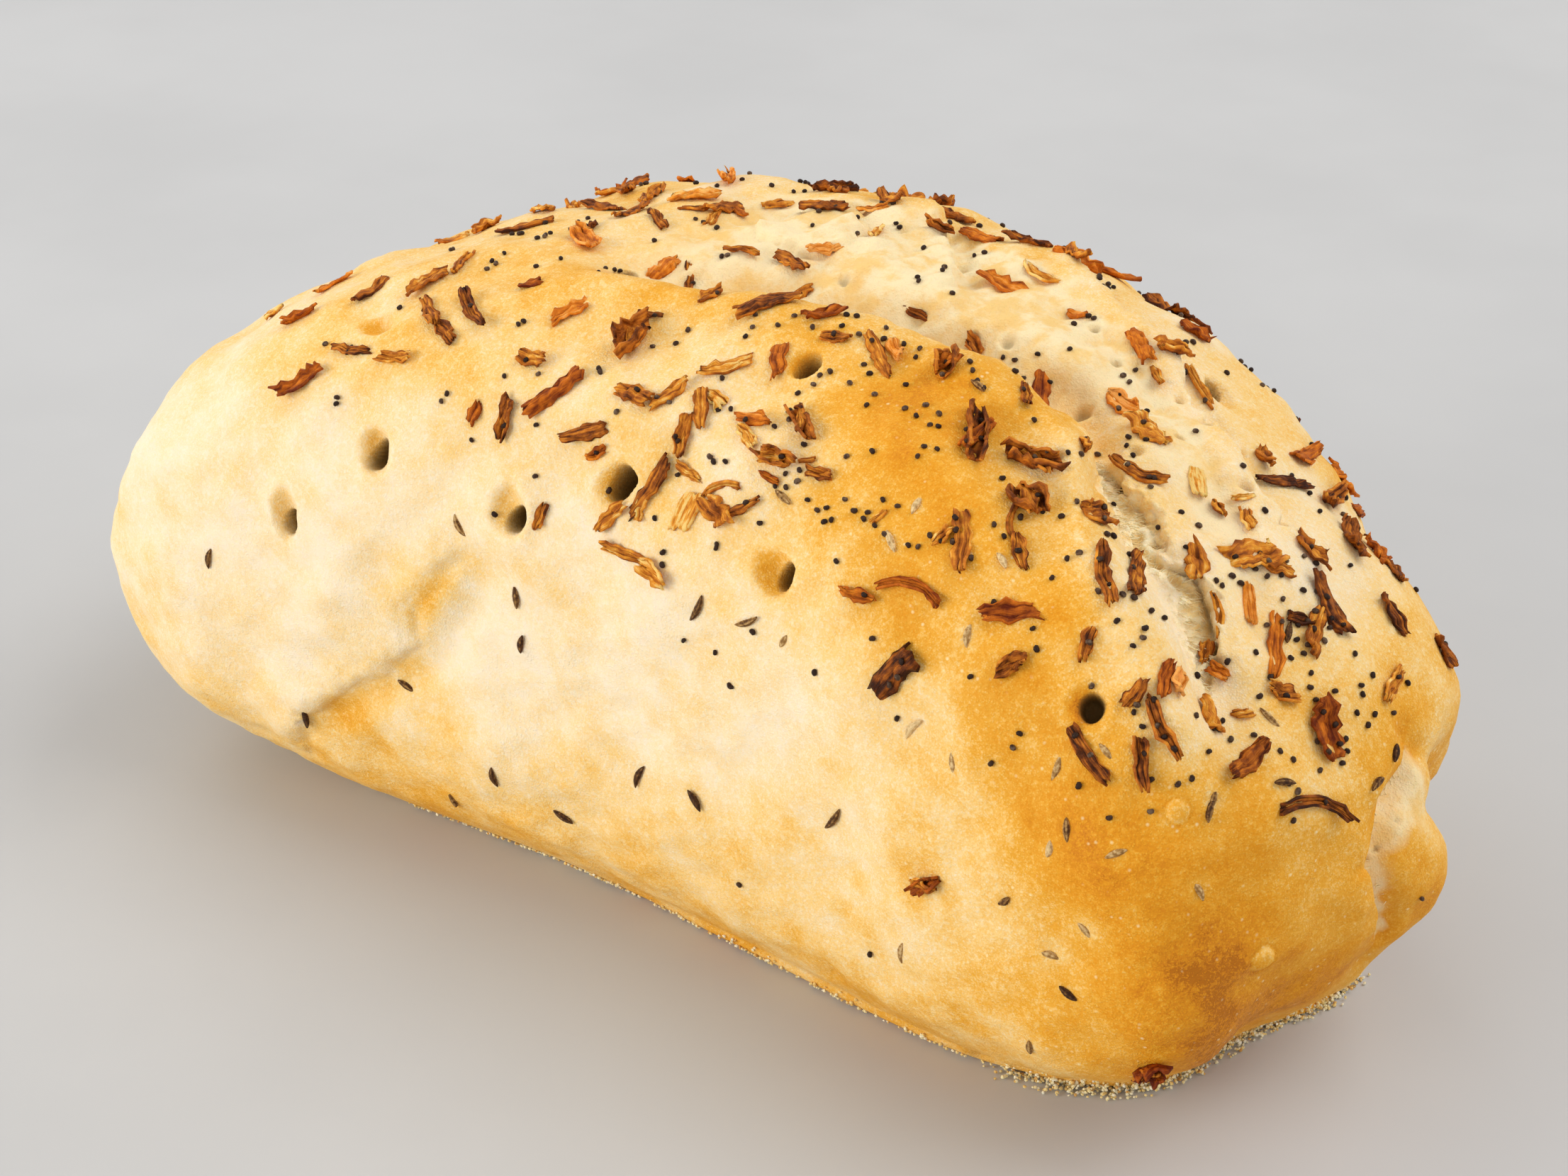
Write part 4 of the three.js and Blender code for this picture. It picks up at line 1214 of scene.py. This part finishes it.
# One sliver, standing at a place with its length along lean.
def sliverPart(draw, size, place, lean, forward, normal):
    sliver = newPart("tone")
    length = draw.uniform(*shreds["length"]) * size
    radius = draw.uniform(*shreds["radius"])
    bmesh.ops.create_cone(sliver, cap_ends=True, segments=5, radius1=radius, radius2=radius * 0.25, depth=length)
    lengthwise = [e for e in sliver.edges if abs(e.verts[0].co.z - e.verts[1].co.z) > 0.1]
    bmesh.ops.subdivide_edges(sliver, edges=lengthwise, cuts=2)
    tint(sliver, draw.random())
    sway = draw.uniform(-0.5, 0.5)
    for v in sliver.verts:
        high = v.co.z / length + 0.5
        flat = 1 + 0.9 * math.sin(3 * high + sway)
        v.co = Vector((v.co.x * flat + sway * high * high * length, v.co.y, (high - 0.12) * length)) * mm
    lean = unit(lean)
    across = unit(np.cross(lean, forward + 0.1 * normal))
    bmesh.ops.transform(sliver, matrix=axesAt(place, across, np.cross(lean, across), lean), verts=sliver.verts)
    return sliver


# Fine slivers of crumb that stand up out of the torn places, drawn across the tear.
def makeShreds():
    draw = random.Random(23)
    whole = newPart("tone")
    heel = ledges["heelEdge"]["line"]
    # of each tear: its line, half width along it, how many slivers, the span they lie in, their size
    tears = [
        (crackLine, crackHalf, shreds["crack"], (0.0, 1.0), 1.0),
        (heel, lambda along: 2.4, shreds["heel"], (0.25, 0.9), 0.7),
    ]
    made = 0
    for line, halfOf, count, span, size in tears:
        run = runOf(line)
        while count > 0:
            along = draw.uniform(*span)
            half = float(halfOf(along))
            if draw.random() > half / 5:
                continue
            k = min(int(np.searchsorted(run, along * run[-1], side="right")) - 1, len(line) - 2)
            t = (along * run[-1] - run[k]) / (run[k + 1] - run[k])
            forward = unit(line[k + 1] - line[k])
            at = line[k] * (1 - t) + line[k + 1] * t
            aside = np.cross(onBall(at[None])[0], forward)
            offset = draw.uniform(-0.8, 1.0) * half
            offset = -abs(draw.gauss(1.5, 1.0)) if line is heel else offset
            place, normal = nearestCrust(inFrame(at + aside * offset))
            lean = aside + forward * draw.gauss(0.3, 0.35) + normal * draw.uniform(0.02, 0.5)
            addShape(whole, sliverPart(draw, size, place, lean, forward, normal))
            count -= 1
            made += 1
    piece = finishMesh(whole, "crumbShreds")
    print("crumb shreds made", made)
    return piece


shredPiece = makeShreds()


# Materials
def newMaterial(name):
    material = bpy.data.materials.new(name)
    material.use_nodes = True
    tree = material.node_tree
    tree.nodes.clear()
    output = tree.nodes.new("ShaderNodeOutputMaterial")
    shader = tree.nodes.new("ShaderNodeBsdfPrincipled")
    tree.links.new(shader.outputs[0], output.inputs[0])
    return material, tree, shader


# Feeds an input with another node's output or with a plain value.
def put(tree, socket, value):
    if isinstance(value, bpy.types.NodeSocket):
        tree.links.new(value, socket)
    elif hasattr(socket.default_value, "__len__") and len(socket.default_value) == 4:
        socket.default_value = (*value, 1.0)
    else:
        socket.default_value = value


def setAll(tree, node, values):
    for socket, value in values.items():
        put(tree, node.inputs[socket], value)


# A new node with its inputs and settings; gives one of its outputs.
def nodeOf(tree, kind, output, values, **settings):
    node = tree.nodes.new("ShaderNode" + kind)
    for name, setting in settings.items():
        setattr(node, name, setting)
    setAll(tree, node, values)
    return node.outputs[output]


def noiseOf(tree, place, scale, detail=3.0, rough=0.55):
    return nodeOf(tree, "TexNoise", "Fac", {"Vector": place, "Scale": scale, "Detail": detail, "Roughness": rough})


def mathOf(tree, operation, first, second, clamp=False):
    return nodeOf(tree, "Math", 0, {0: first, 1: second}, operation=operation, use_clamp=clamp)


def times(tree, first, second):
    return mathOf(tree, "MULTIPLY", first, second)


# A value brought smoothly from one range to another.
def rangeOf(tree, value, low, high, newLow=0.0, newHigh=1.0):
    ends = {"From Min": low, "From Max": high, "To Min": newLow, "To Max": newHigh}
    return nodeOf(tree, "MapRange", "Result", {"Value": value, **ends}, interpolation_type="SMOOTHSTEP")


# A tone moved up or down by a value that is brought to another range.
def shifted(tree, tone, value, low, high, newLow, newHigh, clamp=False):
    return mathOf(tree, "ADD", tone, rangeOf(tree, value, low, high, newLow, newHigh), clamp)


def cellsOf(tree, place, scale, feature="F1"):
    return nodeOf(tree, "TexVoronoi", "Distance", {"Vector": place, "Scale": scale}, feature=feature)


def vectorOf(tree, operation, first, second, output="Vector"):
    return nodeOf(tree, "VectorMath", output, {0: first, 1: second}, operation=operation)


def mixOf(tree, factor, first, second, blend="MIX"):
    values = {"Factor": factor, 6: first, 7: second}
    return nodeOf(tree, "Mix", 2, values, data_type="RGBA", blend_type=blend)


def rampOf(tree, factor, stops):
    node = tree.nodes.new("ShaderNodeValToRGB")
    put(tree, node.inputs[0], factor)
    while len(node.color_ramp.elements) < len(stops):
        node.color_ramp.elements.new(0.5)
    for element, (place, colour) in zip(node.color_ramp.elements, stops):
        element.position = place
        element.color = (*colour, 1.0)
    return node.outputs[0]


def attributeOf(tree, name):
    return nodeOf(tree, "Attribute", "Fac", {}, attribute_name=name)


def bumpOf(tree, height, distance, strength, under=None):
    values = {"Height": height, "Distance": distance, "Strength": strength}
    return nodeOf(tree, "Bump", 0, values if under is None else {**values, "Normal": under})


# Place squeezed along a direction, so that a noise in it is drawn out that way.
def drawnOut(tree, place, direction, share):
    way = Vector(direction).normalized()
    step = times(tree, vectorOf(tree, "DOT_PRODUCT", place, way, "Value"), share)
    return vectorOf(tree, "SUBTRACT", place, vectorOf(tree, "MULTIPLY", step, way))


def objectPlace(tree):
    return nodeOf(tree, "TexCoord", "Object", {})


crustFinish = {
    "stops": [
        (0.0, (0.91, 0.76, 0.545)), (0.12, (0.91, 0.73, 0.46)), (0.25, (0.90, 0.665, 0.345)),
        (0.40, (0.885, 0.58, 0.205)), (0.50, (0.86, 0.49, 0.115)), (0.62, (0.80, 0.385, 0.040)),
        (0.78, (0.735, 0.295, 0.013)), (0.92, (0.63, 0.22, 0.010)), (1.0, (0.47, 0.15, 0.008)),
    ],
    "skin": (0.89, 0.72, 0.42),
    "skinShade": (0.86, 0.57, 0.21),
    "torn": (1.0, 0.85, 0.55),
    # colour of the torn crumb's threads and of its painted shade further down
    "tornThreadsAndShade": (1.0, 0.73, 0.32),
    # colour of the painted shade in bores, pits and the slit
    "hollowShade": (0.20, 0.13, 0.045),
    "fleck": (0.94, 0.77, 0.42),
    "light": {
        "Specular IOR Level": 0.10,
        "Subsurface Weight": 0.12,
        "Subsurface Radius": (1.0, 0.55, 0.25),
        "Subsurface Scale": 0.003,
    },
}


def crustMaterial():
    material, tree, shader = newMaterial("bakedCrust")
    place = objectPlace(tree)
    mottle = noiseOf(tree, place, 420, 4, 0.65)
    tone = shifted(tree, attributeOf(tree, "bake"), noiseOf(tree, place, 95, 4, 0.6), 0.3, 0.7, -0.02, 0.08)
    tone = shifted(tree, tone, mottle, 0.3, 0.7, -0.03, 0.03)
    tone = shifted(tree, tone, noiseOf(tree, place, 1000, 2), 0.48, 0.68, 0.0, -0.11)
    tone = shifted(tree, tone, noiseOf(tree, place, 2300, 3, 0.6), 0.3, 0.7, -0.05, 0.05)
    # the peel: fine paler grains with browner lines between them
    peelHeight = rangeOf(tree, cellsOf(tree, place, 2400), 0.10, 0.62, 1.0, 0.0)
    tone = shifted(tree, tone, peelHeight, 0.0, 1.0, 0.04, -0.07, clamp=True)
    colour = rampOf(tree, tone, crustFinish["stops"])
    # pale flecks of flour and starch
    near = rangeOf(tree, cellsOf(tree, place, 560), 0.06, 0.24, 1.0, 0.0)
    some = rangeOf(tree, noiseOf(tree, place, 260, 2), 0.50, 0.64)
    colour = mixOf(tree, times(tree, times(tree, near, some), 0.65), colour, crustFinish["fleck"])
    # stretched skin of the split
    skin = attributeOf(tree, "skin")
    patches = shifted(tree, noiseOf(tree, place, 210, 5, 0.65), noiseOf(tree, place, 75, 2), 0.3, 0.7, -0.12, 0.12)
    skinColour = mixOf(tree, rangeOf(tree, patches, 0.42, 0.70), crustFinish["skin"], crustFinish["skinShade"])
    colour = mixOf(tree, skin, colour, skinColour)
    # threads of the torn crack, with a painted shade that turns it warmer further down in the tear
    torn = attributeOf(tree, "torn")
    threads = noiseOf(tree, drawnOut(tree, place, crackGrain, 0.8), 2200, 3, 0.6)
    threadsAndShade = mathOf(tree, "ADD", threads, times(tree, attributeOf(tree, "deep"), 0.30))
    tornColour = mixOf(tree, rangeOf(tree, threadsAndShade, 0.46, 0.82), crustFinish["torn"], crustFinish["tornThreadsAndShade"])
    colour = mixOf(tree, torn, colour, tornColour)
    # painted shade in the bores, pits and the crack's slit
    colour = mixOf(tree, times(tree, attributeOf(tree, "hollowShade"), 0.92), colour, crustFinish["hollowShade"])
    shine = mathOf(tree, "ADD", rangeOf(tree, mottle, 0.3, 0.7, 0.50, 0.62), times(tree, skin, 0.25))
    coarse = bumpOf(tree, noiseOf(tree, place, 330, 4, 0.6), 0.0009, 0.35)
    fine = bumpOf(tree, noiseOf(tree, place, 1700, 3, 0.6), 0.00035, 0.35, coarse)
    peeled = bumpOf(tree, peelHeight, 0.00012, 0.5, fine)
    relief = bumpOf(tree, times(tree, threads, torn), 0.00028, 0.7, peeled)
    setAll(tree, shader, {"Base Color": colour, "Roughness": shine, "Normal": relief, **crustFinish["light"]})
    return material


flakeFinish = {
    "stops": [
        (0.0, (0.045, 0.010, 0.002)), (0.18, (0.14, 0.032, 0.004)), (0.38, (0.34, 0.088, 0.008)),
        (0.58, (0.58, 0.178, 0.015)), (0.80, (0.82, 0.33, 0.03)), (1.0, (0.96, 0.62, 0.19)),
    ],
    "amberDark": (0.20, 0.02, 0.001),
    "amberPale": (0.95, 0.22, 0.006),
    "fibres": (1.6, 8.0, 1.0),
    "light": {
        "Specular IOR Level": 0.12,
        "Subsurface Weight": 0.12,
        "Subsurface Radius": (1.0, 0.4, 0.12),
        "Subsurface Scale": 0.0010,
    },
}


def flakeMaterial():
    material, tree, shader = newMaterial("driedOnion")
    place = objectPlace(tree)
    shift = attributeOf(tree, "shift")
    stretched = vectorOf(tree, "MULTIPLY", nodeOf(tree, "UVMap", 0, {}, uv_map="fibre"), flakeFinish["fibres"])
    ownPart = nodeOf(tree, "CombineXYZ", 0, {0: times(tree, shift, 60.0)})  # each shred has its own part of the noise
    streak = noiseOf(tree, vectorOf(tree, "ADD", stretched, ownPart), 1.0, 4, 0.6)
    tone = shifted(tree, attributeOf(tree, "tone"), streak, 0.32, 0.68, -0.16, 0.20)
    tone = shifted(tree, tone, noiseOf(tree, place, 420, 3), 0.3, 0.7, -0.16, 0.18)
    # painted highlight on the crests of the wrinkles and painted shade in their grooves
    tone = shifted(tree, tone, attributeOf(tree, "ridgeAndHighlight"), 0.0, 1.0, -0.14, 0.14)
    tone = mathOf(tree, "ADD", tone, times(tree, attributeOf(tree, "rim"), 0.18), clamp=True)
    colour = rampOf(tree, tone, flakeFinish["stops"])
    # some shreds are glassy and amber
    glassy = times(tree, rangeOf(tree, shift, 0.70, 0.74), 0.55)
    amber = mixOf(tree, tone, flakeFinish["amberDark"], flakeFinish["amberPale"])
    colour = mixOf(tree, glassy, colour, amber)
    shine = rangeOf(tree, streak, 0.3, 0.7, 0.42, 0.62)
    ribs = bumpOf(tree, streak, 0.0007, 0.8)
    knobs = bumpOf(tree, noiseOf(tree, place, 700, 3, 0.6), 0.0006, 0.6, ribs)
    relief = bumpOf(tree, noiseOf(tree, place, 2200, 2), 0.0002, 0.4, knobs)
    setAll(tree, shader, {"Base Color": colour, "Roughness": shine, "Normal": relief, **flakeFinish["light"]})
    return material


# Seeds, grit and crumb: colours from dark to pale, roughness, cells per metre with their depth in metres, and gloss
smallFinishes = {
    "poppySkin": {
        "stops": [(0.0, (0.022, 0.009, 0.005)), (0.60, (0.044, 0.020, 0.011)), (0.90, (0.085, 0.046, 0.026)),
                  (1.0, (0.16, 0.10, 0.06))],
        "rough": 0.36, "cells": 5200, "depth": 0.00006, "gloss": 0.18,
    },
    "carawaySkin": {
        "stops": [(0.0, (0.035, 0.013, 0.005)), (0.3, (0.11, 0.044, 0.013)), (0.6, (0.40, 0.21, 0.06)),
                  (1.0, (0.84, 0.60, 0.29))],
        "rough": 0.55, "cells": 2400, "depth": 0.00010, "gloss": 0.16,
    },
    "cornGrit": {
        "stops": [(0.0, (0.90, 0.85, 0.66)), (0.5, (0.90, 0.78, 0.42)), (0.8, (0.84, 0.60, 0.20)),
                  (1.0, (0.66, 0.36, 0.10))],
        "rough": 0.6, "cells": 3000, "depth": 0.00005, "gloss": 0.2,
    },
    "tornCrumb": {
        "stops": [(0.0, (0.86, 0.62, 0.28)), (0.4, (0.94, 0.78, 0.44)), (1.0, (0.97, 0.87, 0.56))],
        "rough": 0.8, "cells": 3000, "depth": 0.00006, "gloss": 0.1,
    },
}


def smallMaterial(name):
    material, tree, shader = newMaterial(name)
    finish = smallFinishes[name]
    place = objectPlace(tree)
    tone = shifted(tree, attributeOf(tree, "tone"), noiseOf(tree, place, 1400, 2), 0.3, 0.7, -0.18, 0.18, clamp=True)
    rough = rangeOf(tree, noiseOf(tree, place, 2600, 1), 0.3, 0.7, finish["rough"] - 0.08, finish["rough"] + 0.1)
    cells = rangeOf(tree, cellsOf(tree, place, finish["cells"], "DISTANCE_TO_EDGE"), 0.0, 0.12)
    setAll(tree, shader, {
        "Base Color": rampOf(tree, tone, finish["stops"]),
        "Roughness": rough,
        "Normal": bumpOf(tree, cells, finish["depth"], 0.7),
        "Specular IOR Level": finish["gloss"],
    })
    return material


def dress(piece, material):
    piece.data.materials.clear()
    piece.data.materials.append(material)
    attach(piece, "root")
    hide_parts("loaf")


dress(crustPiece, crustMaterial())
dress(flakePiece, flakeMaterial())
dress(poppyPiece, smallMaterial("poppySkin"))
dress(carawayPiece, smallMaterial("carawaySkin"))
dress(gritPiece, smallMaterial("cornGrit"))
dress(shredPiece, smallMaterial("tornCrumb"))
print("materials made")


# Floor and light
studio = {
    "floor": (0.53, 0.525, 0.515),
    "sky": (0.83, 0.85, 0.89),
    "skyStrength": 0.60,
    "lights": {  # of each: place and size in metres, watts, colour
        "window": ((-1.5, 0.55, 1.35), 1.5, 10.5, (1.0, 0.98, 0.96)),
        "front": ((-1.05, -1.75, 0.36), 1.6, 41.0, (1.0, 0.985, 0.96)),
        "side": ((1.6, -0.9, 0.6), 1.5, 4.5, (0.98, 0.99, 1.0)),
        "ceiling": ((1.1, 0.8, 1.75), 1.8, 28.0, (1.0, 0.985, 0.965)),
    },
}


def makeStudio():
    bm = bmesh.new()
    bmesh.ops.create_grid(bm, x_segments=1, y_segments=1, size=20.0)
    floor = finishMesh(bm, "floor", smooth=False)
    material, tree, shader = newMaterial("paleFloor")
    place = objectPlace(tree)
    veil = rangeOf(tree, noiseOf(tree, place, 6, 4), 0.3, 0.7, 0.96, 1.03)
    colour = mixOf(tree, 1.0, studio["floor"], veil, "MULTIPLY")
    setAll(tree, shader, {"Base Color": colour, "Roughness": 0.75})
    floor.data.materials.append(material)
    world = bpy.data.worlds.new("studio")
    bpy.context.scene.world = world
    world.use_nodes = True
    background = world.node_tree.nodes["Background"]
    background.inputs[0].default_value = (*studio["sky"], 1.0)
    background.inputs[1].default_value = studio["skyStrength"]
    aim = Vector((0, 0, 0.05))
    for name, (place, size, power, colour) in studio["lights"].items():
        data = bpy.data.lights.new(name, "AREA")
        data.size = size
        data.energy = power
        data.color = colour
        light = bpy.data.objects.new(name, data)
        light.location = place
        light.rotation_euler = (aim - Vector(place)).to_track_quat("-Z", "Y").to_euler()
        bpy.context.scene.collection.objects.link(light)
    view = bpy.context.scene.view_settings
    view.view_transform, view.look, view.exposure, view.gamma = "Standard", "None", 0.0, 1.0


makeStudio()
print("floor and light ready")
